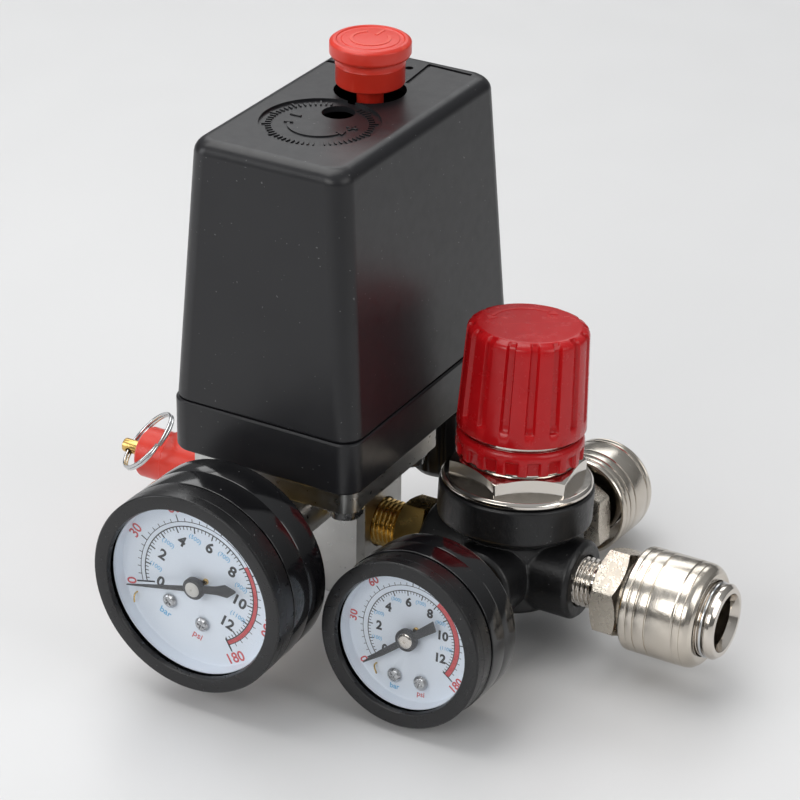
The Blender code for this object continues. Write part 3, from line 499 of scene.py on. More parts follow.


# The lighter edge colours of the black casting and the two red plastics below are painted highlights on sharp
# edges.
LOOKS = {
    "cover_black": surface(
        "satin_black_abs", (0.011, 0.011, 0.013), (0.014, 0.014, 0.016), 0.34, patch=35.0, spread=0.05,
        grain=(3600.0, 0.012), dust=0.5, constants={"IOR": 1.46}),
    "gauge_black": surface(
        "gloss_black_enamel", (0.004, 0.004, 0.005), (0.006, 0.006, 0.007), 0.14, spread=0.05,
        grain=(900.0, 0.010), dust=0.5, constants={"Coat Weight": 0.4, "Coat Roughness": 0.08}),
    "bezel_black": surface(
        "black_pressed_bezel", (0.008, 0.008, 0.009), (0.011, 0.011, 0.012), 0.30, spread=0.06,
        grain=(2200.0, 0.010), dust=0.6),
    "body_black": surface(
        "black_die_casting", (0.006, 0.006, 0.007), (0.010, 0.010, 0.011), 0.36, spread=0.08,
        grain=(1300.0, 0.05), dust=1.0, edge_highlight=(0.05, 0.05, 0.05)),
    "gland_black": surface(
        "black_nylon", (0.012, 0.012, 0.013), (0.018, 0.018, 0.019), 0.42, spread=0.06,
        grain=(2600.0, 0.015), dust=0.6),
    "button_red": surface(
        "satin_red_plastic", (0.64, 0.030, 0.016), (0.70, 0.040, 0.020), 0.33, patch=45.0, spread=0.06,
        grain=(2400.0, 0.010), edge_highlight=(0.78, 0.10, 0.06), constants=plastic_glow(0.4)),
    "knob_red": surface(
        "gloss_red_plastic", (0.46, 0.004, 0.007), (0.53, 0.007, 0.010), 0.24, patch=45.0, spread=0.07,
        grain=(1700.0, 0.014), edge_highlight=(0.66, 0.05, 0.05), constants={**plastic_glow(0.5), "IOR": 1.44}),
    "nickel": surface(
        "turned_nickel", (0.72, 0.67, 0.60), (0.66, 0.60, 0.52), 0.20, 1.0, spread=0.08,
        grain=(1500.0, 0.006), rings=(5200.0, 0.010), constants={"Anisotropic": 0.35}),
    "nickel_rough": surface(
        "blasted_nickel", (0.70, 0.65, 0.57), (0.60, 0.54, 0.46), 0.28, 1.0, spread=0.12,
        grain=(2100.0, 0.10)),
    "nickel_bright": surface(
        "polished_nickel", (0.76, 0.72, 0.67), (0.70, 0.64, 0.57), 0.13, 1.0, grain=(700.0, 0.012),
        rings=(2500.0, 0.003)),
    "brass": surface(
        "turned_brass", (0.80, 0.56, 0.20), (0.66, 0.42, 0.13), 0.24, 1.0, spread=0.08,
        grain=(1500.0, 0.010), rings=(4000.0, 0.006)),
    "aluminium": surface(
        "milled_aluminium", (0.63, 0.63, 0.62), (0.52, 0.52, 0.51), 0.34, 1.0, spread=0.10,
        grain=(1400.0, 0.020), rings=(2600.0, 0.006), edge=0.25),
    "zinc": surface(
        "plated_steel", (0.60, 0.60, 0.60), (0.46, 0.46, 0.47), 0.28, 1.0, spread=0.10,
        grain=(1500.0, 0.015)),
    "wire": surface(
        "bright_spring_wire", (0.70, 0.71, 0.72), (0.58, 0.59, 0.60), 0.18, 1.0, spread=0.06,
        grain=(1200.0, 0.008)),
    "copper": surface(
        "phosphor_bronze", (0.70, 0.42, 0.26), (0.60, 0.34, 0.20), 0.32, 1.0, spread=0.08,
        grain=(1600.0, 0.010)),
    "rubber": surface(
        "black_rubber", (0.020, 0.020, 0.020), (0.030, 0.029, 0.028), 0.70, grain=(1800.0, 0.03)),
    "grey": surface(
        "grey_plastic_moulding", (0.26, 0.27, 0.29), (0.31, 0.32, 0.34), 0.48, grain=(1900.0, 0.02)),
    "dial": surface(
        "printed_dial", (0.80, 0.86, 0.94), (0.84, 0.89, 0.96), 0.42, patch=20.0, grain=(1500.0, 0.004)),
    "needle": surface(
        "needle_enamel", (0.035, 0.036, 0.038), (0.050, 0.050, 0.052), 0.36, grain=(2500.0, 0.006)),
    "hub": surface(
        "hub_enamel", (0.70, 0.68, 0.63), (0.60, 0.58, 0.54), 0.35, grain=(1800.0, 0.012),
        rings=(3000.0, 0.010)),
    "ink_black": surface("black_ink", (0.022, 0.023, 0.026), (0.045, 0.046, 0.050), 0.45, patch=900.0),
    "ink_red": surface("red_ink", (0.62, 0.07, 0.08), (0.70, 0.12, 0.12), 0.45, patch=900.0),
    "ink_blue": surface("blue_ink", (0.08, 0.42, 0.72), (0.16, 0.50, 0.78), 0.45, patch=900.0),
    "glass": glass("gauge_window", (0.975, 0.98, 0.985)),
}


def put(name, bm, place, look, nodes=(), sharp=34, body="housing"):
    """Make a piece from a mesh drawn in millimetres in the frame place, and let it ride on a body."""
    bm.transform(Matrix.Scale(MM, 4))
    mesh = mesh_from(name, bm)
    mesh.materials.append(LOOKS[look])
    mesh.shade_smooth()
    mesh.set_sharp_from_angle(angle=math.radians(sharp))
    made = linked(name, mesh)
    made.matrix_world = place
    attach(made, body)
    if nodes:
        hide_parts(*nodes)
    return made


def even_out(piece):
    """Weight the normals by face size, so that flat faces stay flat next to small fillets."""
    step = piece.modifiers.new("weighted normals", "WEIGHTED_NORMAL")
    step.keep_sharp = True
    step.weight = 80


# ---------------------------------------------------------------- manifold and switch

BLOCK_HALF = 11.1
BOLT_PLACES = [(side * 18.5, y) for y in (-32.0, 0.0) for side in (-1, 1)]


def make_manifold():
    corner = BLOCK_HALF - 1.6
    plan = [(BLOCK_HALF, corner), (corner, BLOCK_HALF)]
    outline = plan + [(-y, x) for x, y in plan] + [(-x, -y) for x, y in plan] + [(y, -x) for x, y in plan]
    column = prism(outline, -18.8, 25)
    flange = prism(rounded_rectangle(-24, 24, -38.5, 7.5, 4.0), 24.0, 31.4)
    arm = lathed([(0, 5), (8.0, 5), (8.0, 37), (0, 37)], 0.8)
    arm = moved(pointing(arm, (0, -1, 0)), z=14.15)
    solid = united(column, flange, arm)
    tools = [
        moved(pointing(rod(5.05, 27.5, 38), (0, -1, 0)), z=14.15), rod(7.6, -20, -7.9), rod(2.6, -8.5, 33),
        moved(rod(16.0, 28.0, 33), y=CHAMBER_Y)]
    for direction in ((1, 0, 0), (-1, 0, 0)):
        tools.append(pointing(rod(6.8, 3.4, BLOCK_HALF + 1), direction))
    tools.append(pointing(rod(1.8, -4, 4), (1, 0, 0)))
    tools += [moved(rod(2.7, 23, 33), x, y) for x, y in BOLT_PLACES]
    piece = put("manifold_casting", cut(solid, *tools), ASSEMBLY, "aluminium",
                ["manifold_block"])
    step = piece.modifiers.new("edges", "BEVEL")
    step.width = 0.35 * MM
    step.segments = 2
    step.limit_method = "ANGLE"
    step.angle_limit = math.radians(50)
    step.harden_normals = True


def make_bolts():
    for number, (x, y) in enumerate(BOLT_PLACES, start=1):
        head = chamfered_hex(8.0, 20.4, 23.7, 12 * number, 0.2, high_cone=False)
        collar = lathed([(0, 22.9), (4.9, 22.9), (5.2, 23.7), (0, 23.7)], 0.2, SMALL_LATHE)
        shank = threaded(2.45, 2.15, 23.5, 35.2, 0.8, 32, 8)
        bolt = moved(united(united(head, collar), shank), x, y)
        put(f"bolt_{number}_head", bolt, ASSEMBLY, "zinc", [f"flange_bolt_{number}"])


BASE_HALF_X = 26.9
BASE_FRONT = -42.9
BASE_BACK = 41.1
BASE_BOTTOM = 31.7
SEAM = 46.0
COVER_TOP = 115.8
COVER_SET_BACK = 0.4            # of the cover's foot from the base's side
COVER_TAPER_X = 4.58
COVER_TAPER_Y = 3.13
DISC_Y = -13.4                  # middle of the recessed disc in the cover's top


def stacked(rows):
    """Loft through rounded rectangles: each row is (height, inset, corner radius)."""
    sections = []
    for z, inset, radius in rows:
        outline = rounded_rectangle(-BASE_HALF_X + inset, BASE_HALF_X - inset, BASE_FRONT + inset,
                                    BASE_BACK - inset, radius)
        sections.append([(x, y, z) for x, y in outline])
    return loft(sections)


def make_base():
    outer = stacked([(BASE_BOTTOM, 0.9, 4.6), (BASE_BOTTOM + 0.25, 0.35, 5.1), (BASE_BOTTOM + 0.9, 0.0, 5.4),
                     (SEAM - 0.5, 0.0, 5.4), (SEAM - 0.36, 0.05, 5.35), (SEAM - 0.05, 0.36, 5.05),
                     (SEAM, 0.5, 5.0)])
    well = stacked([(36.0, 2.6, 2.8), (SEAM + 1, 2.6, 2.8)])
    tools = [
        well, moved(rod(6.0, 30, 37), y=CHAMBER_Y), moved(rod(20.3, 30, BASE_BOTTOM + 1.5), y=CHAMBER_Y),
        moved(rod(7.6, 30, 37), GLAND_X, GLAND_Y)]
    tools += [moved(rod(2.7, 30, 37), x, y) for x, y in BOLT_PLACES]
    tray = cut(outer, *tools)
    lugs = [block(x - 1.6, x + 1.6, -38, -31, 35, 47.5) for x in (-13, 13)]
    posts = [block(x - 2, x + 2, -10.1, -3.4, 35, 92) for x in (-17, 17)]
    bridge = block(-19.5, 19.5, -10.6, -0.1, 90, 95.5)
    pivot = moved(pointing(rod(2.3, -20, 20), (1, 0, 0)), y=-34.5, z=43.5)
    tray = cut(united(tray, *lugs, *posts, bridge), pivot, moved(rod(2.9, 88, 97), y=RANGE_SCREW_Y))
    even_out(put("switch_base_moulding", tray, ASSEMBLY, "cover_black",
                 ["switch_base"]))


def sign(length, width, low, high, upright):
    """Plus or minus in relief."""
    parts = [softened(block(-length / 2, length / 2, -width / 2, width / 2, low, high), 0.12, 1)]
    if upright:
        parts.append(softened(block(-width / 2, width / 2, -length / 2, length / 2, low, high), 0.12, 1))
    return merged(*parts)


def arrow_head(length, half, low, high, radius, angle, side):
    """Arrow head at an angle on a circle, pointing along it, the way that side (1 or -1) says."""
    head = prism([(0, -half), (length, 0), (0, half)], low, high)
    return spun(moved(spun(head, 90 * side), radius), angle)


def arc_band(inner, outer, start, end, low, high, steps=24):
    """Part of a flat ring, from the angle start to the angle end."""
    sections = []
    for i in range(steps + 1):
        angle = math.radians(start + (end - start) * i / steps)
        c, s = math.cos(angle), math.sin(angle)
        sections.append([(inner * c, inner * s, low), (outer * c, outer * s, low),
                         (outer * c, outer * s, high), (inner * c, inner * s, high)])
    return loft(sections)


def cover_section(z, inset, radius):
    low = SEAM + GAP
    share = (z - low) / (COVER_TOP - low)
    dx = COVER_SET_BACK + COVER_TAPER_X * share + inset
    dy = COVER_SET_BACK + COVER_TAPER_Y * share + inset
    outline = rounded_rectangle(-BASE_HALF_X + dx, BASE_HALF_X - dx, BASE_FRONT + dy, BASE_BACK - dy, radius)
    return [(x, y, z) for x, y in outline]


def make_cover():
    low = SEAM + GAP
    rounding = 3.5
    above = COVER_TOP + 1
    outer = [cover_section(low + rise, inset, radius)
             for rise, inset, radius in ((0, 0.25, 5.2), (0.25, 0.06, 5.4), (0.6, 0, 5.4))]
    for i in range(7):
        angle = math.radians(15 * i)
        inset = rounding * (1 - math.cos(angle))
        outer.append(cover_section(COVER_TOP - rounding * (1 - math.sin(angle)), inset, 5.4 - 0.5 * inset))
    wall = 2.2
    inner = [cover_section(low - 1, wall, 3.9), cover_section(COVER_TOP - wall, wall, 3.9)]
    disc = moved(rod(15.15, COVER_TOP - 0.7, above, LATHE), y=DISC_Y)
    access = moved(rod(4.2, COVER_TOP - 5, above), y=RANGE_SCREW_Y)
    button_hole = moved(rod(9.2, COVER_TOP - 5, above, LATHE), y=BUTTON_Y)
    groove = COVER_TOP - 0.5
    grooves = [
        prism([(5.2, 19.2), (6.4, 19.6), (5.2, 33.3), (4.0, 33.3)], groove, above),
        prism([(4.0, 32.5), (17.0, 31.9), (17.0, 33.1), (4.0, 33.7)], groove, above),
        block(-19.4, -15.8, 21.4, 22.8, COVER_TOP - 1.2, above),
        moved(rod(1.1, COVER_TOP - 1.6, above, 20), 1.1, 28.6)]
    shell = cut(loft(outer), loft(inner), disc, access, button_hole, *grooves)
    even_out(put("cover_shell", shell, ASSEMBLY, "cover_black", ["cover"], 30))
    make_cover_marks()


def make_cover_marks():
    """Ring of ticks, an arc with an arrow at each end, a minus and a plus on the recessed disc."""
    floor = COVER_TOP - 0.75
    top = floor + 0.4
    marks = []
    for i in range(60):
        if 13 <= i <= 17:
            continue
        length = 1.5 if i % 5 else 2.3
        marks.append(spun(block(12.0, 12.0 + length, -0.19, 0.19, floor, top), 6 * i))
    marks.append(arc_band(7.4, 8.1, 205, 335, floor, top))
    for side, upright in ((-1, False), (1, True)):
        marks.append(moved(sign(3.2, 0.75, floor, top, upright), side * 8.0, 1.8))
        marks.append(arrow_head(2.2, 1.2, floor, top, 7.75, 270 + 67 * side, side))
    put("cover_marks", moved(merged(*marks), y=DISC_Y), ASSEMBLY, "cover_black")


def make_button():
    outline = [
        (0, 69.1), (3.4, 69.1), (3.4, 119.6), (7.4, 119.6), (7.4, 117.9, 0.3), (8.75, 117.9, 0.5),
        (8.75, 123.0, 0), (8.85, 123.15, 0), (8.75, 123.3, 0), (8.75, 125.2, 0.3), (9.9, 125.3, 0.3),
        (10.3, 126.0, 0.4), (10.3, 128.9, 0.5), (9.4, 129.5, 0.5), (8.6, 129.6, 0.3), (8.4, 129.25, 0.3),
        (7.4, 129.25, 0.3), (7.2, 129.45, 0.2), (0, 129.5)]
    cap = lathed(outline, 0.2)
    put("button_cap", moved(cap, y=BUTTON_Y), ASSEMBLY, "button_red",
        ["on_off_button"], body="button")
    marks = [arc_band(4.4, 5.2, 130, 410, 129.3, 129.6), block(-0.4, 0.4, 2.6, 6.6, 129.3, 129.6)]
    put("button_mark", moved(merged(*marks), y=BUTTON_Y), ASSEMBLY, "button_red",
        body="button")


def make_gland():
    flange = softened(prism(hexagon(20.0, 15), 27.4, BASE_BOTTOM - GAP), 0.5, 3)
    shaft = threaded(7.2, 6.6, 20.5, 41.5, 1.5, 64, 8)
    body = cut(united(flange, shaft), rod(4.4, 19, 43))
    put("gland_hex", moved(body, GLAND_X, GLAND_Y), ASSEMBLY, "gland_black",
        ["gland_body"])
    rows = [
        (7.5, 26.9, 0), (7.5, 19.0, 0), (4.7, 16.5, 0), (4.7, 7.1, 0), (7.2, 7.0, 0), (7.5, 7.1, 0),
        (9.3, 9.1, 0.2), (9.5, 9.4, 0.7), (9.95, 12.0, 1.0), (10.0, 12.6, 1.0), (10.0, 26.3, 1.0),
        (9.8, 26.8, 0.6), (9.5, 26.95, 0)]
    nut = loft(wavy(rows, 14, 0.5, 0.72, flank=0.25, sides=12), close=True)
    put("gland_cap_nut", moved(nut, GLAND_X, GLAND_Y), ASSEMBLY, "gland_black",
        ["gland_nut"])


# ---------------------------------------------------------------- gauges
# A gauge is drawn with its front face at height 0 and its socket below; angles are on its dial.

TANK = dict(name="tank_gauge", place=TANK_GAUGE, radius=26.9, case=26.8, window=22.66, depth=24.0,
            socket_end=47.5, arm_gap=39.9, turn=-22.5, zero=194.0, inner=15.75, outer=17.0, number_at=11.7,
            number_size=4.2, red_at=20.7, red_size=3.9, blue_at=12.6, needle=193.5, length=20.3, tail=12.65,
            screws=(5.1, -9.8), pointed=True, cap="hub", stop=(20.0, 203.0))
OUTLET = dict(name="outlet_gauge", place=OUTLET_GAUGE, radius=21.9, case=22.15, window=17.7, depth=21.4,
              socket_end=45.0, arm_gap=37.3, turn=0.0, zero=218.5, inner=12.1, outer=13.5, number_at=9.0,
              number_size=3.2, red_at=16.3, red_size=3.0, blue_at=9.9, needle=219.5, length=14.9, tail=10.2,
              screws=(3.7, -11.6), pointed=False, cap="nickel_bright", stop=(13.6, 228.0))

DEGREES_PER_UNIT = 20.1
FULL_SCALE = 12.65
RED_FROM = 8.0
RED_FULL_SCALE = 180
DEGREES_PER_RED = DEGREES_PER_UNIT * FULL_SCALE / RED_FULL_SCALE
PRINT_LOW = -6.2
PRINT_HIGH = -6.16
PRINT_MIDDLE = (PRINT_LOW + PRINT_HIGH) / 2


def text_mesh(words, size, bold):
    """Figures from Blender's own font as a closed mesh in millimetres, centred."""
    curve = bpy.data.curves.new("figures", "FONT")
    curve.body = words
    curve.size = size
    curve.align_x = "CENTER"
    curve.align_y = "CENTER"
    curve.offset = bold
    curve.extrude = (PRINT_HIGH - PRINT_LOW) / 2
    curve.resolution_u = 4
    holder = linked("figures", curve)
    result = evaluated(holder)
    bpy.data.objects.remove(holder, do_unlink=True)
    bpy.data.curves.remove(curve)
    bmesh.ops.remove_doubles(result, verts=result.verts, dist=0.0001)
    return result


def figure(words, size, radius, angle, tilt, bold=0.0):
    place = math.radians(angle)
    return moved(spun(text_mesh(words, size, bold), tilt), radius * math.cos(place), radius * math.sin(place),
                 PRINT_MIDDLE)


def make_print(gauge, add):
    """Scale lines, numbers and unit words, each ink as one piece."""
    inner = gauge["inner"]
    outer = gauge["outer"]
    level = gauge["turn"]
    zero = gauge["zero"]
    screw_x, screw_y = gauge["screws"]
    scale = inner / TANK["inner"]
    end = zero - DEGREES_PER_UNIT * FULL_SCALE

    def band(low, high, start, steps=96):
        return arc_band(low, high, end, start, PRINT_LOW, PRINT_HIGH, steps)

    def spoke(angle, low, high, width):
        half = width * scale / 2
        return spun(block(low, high, -half, half, PRINT_LOW, PRINT_HIGH), angle)

    def unit(words, side):
        word = moved(text_mesh(words, 2.6 * scale, 0.02), side * screw_x, screw_y - 4.3 * scale, PRINT_MIDDLE)
        return spun(word, level)

    black = [
        band(inner - 0.14 * scale, inner + 0.14 * scale, zero),
        band(outer - 0.09 * scale, outer + 0.09 * scale, zero)]
    for i in range(int(FULL_SCALE * 5) + 1):
        length, width = (0.95, 0.20) if i % 5 else (1.7, 0.34)
        black.append(spoke(zero - DEGREES_PER_UNIT * i / 5, inner - length * scale, inner, width))
    for i in range(RED_FULL_SCALE // 5 + 1):
        length, width = (0.95, 0.17) if i % 6 else (1.9, 0.28)
        black.append(spoke(zero - DEGREES_PER_RED * 5 * i, outer, outer + length * scale, width))
    black.append(spoke(zero, inner - 2.3 * scale, outer + 1.9 * scale, 0.42))
    black.append(spoke(end, inner - 0.6 * scale, outer + 1.6 * scale, 0.42))
    for value in range(0, 13, 2):
        angle = zero - DEGREES_PER_UNIT * value
        black.append(figure(str(value), gauge["number_size"], gauge["number_at"], angle, level, 0.13))
    add("scale", merged(*black), "ink_black", "dial_white")

    red = [band(inner + 0.16 * scale, outer - 0.1 * scale, zero - DEGREES_PER_UNIT * RED_FROM, 40)]
    for value in range(0, RED_FULL_SCALE + 1, 30):
        angle = zero - DEGREES_PER_RED * value
        upper_half = 0 < (angle - level) % 360 < 180
        tilt = angle - 90 if upper_half else angle + 90
        red.append(figure(str(value), gauge["red_size"], gauge["red_at"], angle, tilt, 0.06))
    red.append(unit("psi", 1))
    add("red_print", merged(*red), "ink_red", "dial_white")

    blue = []
    for value in range(1, 12, 2):
        angle = zero - DEGREES_PER_UNIT * value
        blue.append(figure(f"({value}00)", 1.75 * scale, gauge["blue_at"], angle, level))
    blue.append(unit("bar", -1))
    add("blue_print", merged(*blue), "ink_blue", "dial_white")


def phillips_screw(x, y, spin):
    head = lathed([
        (0, -9.8), (0.9, -9.8), (0.9, -5.9), (1.95, -5.9, 0.1), (1.95, -5.55, 0.3), (1.35, -5.02, 0.4),
        (0, -4.95)], 0.1, SMALL_LATHE)
    slots = [spun(block(-1.05, 1.05, -0.22, 0.22, -5.5, -4), angle + spin) for angle in (0, 90)]
    return moved(cut(head, *slots), x, y)


def make_needle(gauge, add):
    length = gauge["length"]
    tail = gauge["tail"]
    body = gauge["name"].replace("gauge", "needle")
    if gauge["pointed"]:
        outline = [
            (length, 0.16), (0, 0.85), (-0.55 * tail, 1.15), (-0.78 * tail, 1.75), (-tail, 0.25),
            (-tail, -0.25), (-0.78 * tail, -1.75), (-0.55 * tail, -1.15), (0, -0.85), (length, -0.16)]
    else:
        outline = [
            (length, 0.14), (0.6 * length, 0.75), (0, 0.9), (-0.3 * tail, 1.0), (-0.92 * tail, 1.45),
            (-tail, -1.2), (-0.3 * tail, -1.0), (0, -0.9), (0.6 * length, -0.75), (length, -0.14)]
    blade = spun(softened(prism(outline, -3.75, -3.4), 0.08, 2), gauge["needle"])
    ring = lathed([
        (0, -11.4), (0.8, -11.4), (0.8, -4.6), (2.9, -4.6), (2.9, -3.3, 0.3), (2.1, -3.1, 0.2),
        (0, -3.1)], 0.1)
    add("pointer", merged(blade, ring), "needle", "gauge_black", "needle", body)
    dome = lathed([
        (0, -3.4), (2.0, -3.4), (2.0, -3.0, 0.2), (1.4, -2.8, 0.4), (0.34, -2.72, 0.1), (0.3, -2.95),
        (0, -2.95)], 0.1)
    add("hub_cap", dome, gauge["cap"], "nickel", body=body)


def make_stop_pin(gauge, add):
    """Bent wire that the needle rests against."""
    reach, degrees = gauge["stop"]
    angle = math.radians(degrees)
    foot = Vector((reach * math.cos(angle), reach * math.sin(angle), -6.6))
    along = Vector((math.cos(angle + 1.2), math.sin(angle + 1.2), 0))
    path = [foot + Vector((0, 0, rise)) + along * out
            for rise, out in ((0, 0), (1.3, 0), (1.7, 0.3), (1.9, 0.8), (1.95, 2.2))]
    add("stop_pin", sweep(path, 0.22, 10), "brass", "brass")


def make_socket(gauge, add):
    end = gauge["socket_end"]
    shoulder = gauge["arm_gap"]
    depth = gauge["depth"]
    inside = -15.4
    neck = threaded(4.75, 4.3, -end, -shoulder + 1.2, 0.907, 48, 8)
    stem = rod(4.25, -shoulder - 0.5, inside)
    grip = chamfered_hex(14.0, -shoulder, -depth - GAP, 20, 0.25)
    foot = block(-2.2, 2.2, -gauge["radius"] + 11.5, 0, -depth + 2.2, inside)
    socket = cut(united(grip, stem, neck, foot), rod(1.4, -end - 1, -depth + 3, 24))
    add("brass_socket", socket, "brass", "brass", "socket")


def make_gauge(gauge):
    radius = gauge["radius"]
    window = gauge["window"]
    depth = gauge["depth"]
    back = gauge["case"]
    level = math.radians(gauge["turn"])

    def add(piece, bm, look, slot, node=None, body="housing"):
        name = gauge["name"]
        put(f"{name}_{piece}", bm, gauge["place"], look, [f"{name}_{node}"] if node else (), body=body)

    ledge = radius - 1.8
    bezel = lathed([
        (window, -1.3, 0.15), (window + 0.5, 0, 0.2), (radius - 0.35, 0, 0.2), (radius, -0.35, 0.2),
        (radius, -3.0, 0), (radius - 0.12, -3.1, 0), (radius, -3.2, 0), (radius, -7.0, 0.25),
        (ledge, -7.0, 0.1), (ledge, -1.3, 0.1)], 0.2, FINE_LATHE)
    add("rim", bezel, "bezel_black", "gauge_black", "bezel")
    seat = ledge - GAP
    lens = lathed([(0, -2.4), (seat, -2.4), (seat, -1.6), (0, -1.6)], 0.15, FINE_LATHE)
    add("window", lens, "glass", "lens", "lens")
    wall = radius - 3.7
    step = -7.3 - 0.42 * (depth - 7.3)
    case = lathed([
        (4.6, -depth), (back - 2.0, -depth, 1.2), (back - 0.3, -depth + 1.6, 1.2),
        (back - 0.15, step - 0.5, 0), (back - 0.32, step - 0.2, 0), (back, step, 0.1), (back, -7.5, 0.2),
        (seat, -7.3, 0.1), (seat, -5.2, 0.1), (wall, -5.2, 0.1), (wall, -depth + 1.8, 0.5),
        (4.6, -depth + 1.8)], 0.2, FINE_LATHE)
    add("shell", case, "gauge_black", "gauge_black", "case")

    screw_x, screw_y = gauge["screws"]
    screws = [Matrix.Rotation(level, 3, "Z") @ Vector((x, screw_y, 0)) for x in (-screw_x, screw_x)]
    edge = wall - GAP
    dial = lathed([
        (1.5, -7.0), (edge, -7.0), (edge, -2.55, 0.1), (edge - 0.3, -2.55, 0.1),
        (edge - 0.4, PRINT_LOW, 0.35), (1.5, PRINT_LOW)], 0.1, FINE_LATHE)
    dial = cut(dial, *[moved(rod(1.2, -12, -5), one.x, one.y) for one in screws])
    add("face", dial, "dial", "dial_white", "dial")
    for number, one in enumerate(screws, start=1):
        add(f"face_screw_{number}", phillips_screw(one.x, one.y, 20 + 25 * number), "zinc", "nickel",
            f"dial_screw_{number}")
    adjuster = lathed([(0, -6.3), (0.75, -6.3), (0.75, -5.6, 0.2), (0, -5.5)], 0.05, 24)
    angle = math.radians(58) + level
    add("trim", moved(adjuster, 2.6 * math.cos(angle), 2.6 * math.sin(angle)), "brass", "brass")
    make_stop_pin(gauge, add)
    make_needle(gauge, add)
    make_print(gauge, add)
    make_socket(gauge, add)


# ---------------------------------------------------------------- relief valve and nipple

RING_EYE = 68.5
RING_RADIUS = 9.22
RING_OFFSET = 9.1
RING_LEAN = -127.5
RING_SPIN = -28.0


def make_relief():
    body = turned([(0, 3.8), (6.0, 3.8), (6.0, 11.4), (6.2, 11.8), (6.2, 52.4), (0, 52.4)])
    thread = quarter_inch(3.8, 12.5, 5.8, 64, 10)
    grip = chamfered_hex(17.0, 11.4, 20.0, 0, 0.3)
    cavity = [rod(5.1, 26.0, 54), rod(2.4, 2, 27)]
    put("relief_valve_body", cut(united(body, thread, grip), *cavity), RELIEF, "brass",
        ["relief_body"])
    cap = lathed([
        (6.5, 30.0), (7.7, 30.0, 0.3), (7.8, 31.0, 0.3), (7.8, 54.8, 0.35), (7.3, 55.15, 0.25),
        (7.0, 55.3, 0.15), (7.0, 62.9, 0.35), (6.1, 63.85, 0.35), (2.3, 63.9, 0.15), (2.3, 52.9),
        (6.5, 52.9)], 0.15)
    put("relief_valve_cap", cap, RELIEF, "button_red", ["relief_cap"])
    pin = lathed([
        (0, 27), (4.4, 27), (4.4, 30), (1.95, 30.4), (1.95, 65.2, 0.1), (1.8, 65.4, 0.1), (1.8, 65.9, 0.1),
        (1.95, 66.1, 0.1), (1.95, 70.8, 0.35), (0.3, 71.2, 0.1), (0, 71.2)], 0.2, SMALL_LATHE)
    hole = moved(pointing(rod(1.2, -3, 3, 32), (0, 1, 0)), z=RING_EYE)
    put("relief_valve_stem", spun(cut(pin, hole), RING_SPIN), RELIEF, "brass",
        ["relief_stem"], body="relief_plunger")
    wire = 0.44
    steps = 72
    path = []
    for i in range(2 * steps + 1):
        angle = math.tau * i / steps + math.radians(200)
        settle = smooth_step((i - steps + 9) / 18)
        path.append((RING_RADIUS * math.cos(angle) - RING_OFFSET, RING_RADIUS * math.sin(angle),
                     (settle - 0.5) * 2 * wire))
    ring = spun(spun(sweep(path, wire, 12), RING_LEAN, "Y"), RING_SPIN)
    put("relief_ring_wire", moved(ring, z=RING_EYE), RELIEF, "wire", ["pull_ring"],
        body="relief_ring")


def make_nipple():
    face = REGULATOR_X - 22.8
    threads = quarter_inch(3.8, 19.2, 5.65)
    far = quarter_inch(face - 1.2, face + 6.5, 5.65, steps=10)
    core = rod(5.7, 17.5, face, LATHE)
    grip = chamfered_hex(17.0, 18.7, face - GAP, 20, 0.3)
    nipple = cut(united(grip, core, threads, far), rod(3.0, 2, 40))
    put("nipple_double_thread", nipple, NIPPLE, "brass", ["port_nipple"])


# ---------------------------------------------------------------- regulator

def make_regulator_body():
    barrel = lathed([
        (0, -9.7), (13.0, -9.7, 1.5), (13.0, 9.1, 1.0), (17.8, 11.6, 1.0), (20.0, 13.4, 1.0),
        (20.0, 22.5, 0.4), (0, 22.5)], 0.5)
    through_x = turned([(0, -22.8), (9.4, -22.8), (10.4, -21.8), (10.4, 20), (9.4, 21), (0, 21)])
    through_y = turned([(0, -21.0), (9.15, -21.0), (10.15, -20), (10.15, 22), (9.15, 23), (0, 23)])
    solid = united(barrel, pointing(through_x, (1, 0, 0)), pointing(through_y, (0, 1, 0)))
    chambers = turned([
        (0, -7.5), (5.0, -7.5), (5.0, 1.0), (2.9, 1.0), (2.9, 6.5), (9.0, 6.5), (9.0, 14.2), (16.2, 14.2),
        (16.2, 23.5), (0, 23.5)])
    tools = [chambers]
    for direction, reach, bore in (((-1, 0, 0), 22.8, 6.8), ((0, -1, 0), 21.0, 5.05), ((1, 0, 0), 21.0, 6.8),
                                   ((0, 1, 0), 23.0, 6.8)):
        tools.append(pointing(rod(bore, reach - 9.5, reach + 1), direction))
    body = cast(cut(solid, *tools), 0.3, 6)
    put("regulator_casting", body, REGULATOR, "body_black", ["regulator_body"], 60)


def make_bonnet():
    top = 24.7
    shell = lathed([
        (0, 16.0), (15.8, 16.0), (15.8, 22.8), (19.2, 22.8, 0.3), (19.5, 23.3, 0.3), (19.5, 24.0, 0.4),
        (18.9, top, 0.4), (14.5, top), (14.5, 45.0, 0.4), (0, 45.0)], 0.2, FINE_LATHE)
    grip = chamfered_hex(31.0, top - 0.6, 29.6, -82, 0.3, low_cone=False)
    bonnet = cut(united(shell, grip), rod(11.5, 15, 43.0, LATHE), rod(3.4, 42, 46))
    put("regulator_bonnet_nut", bonnet, REGULATOR, "nickel_bright", ["regulator_bonnet"], 30)


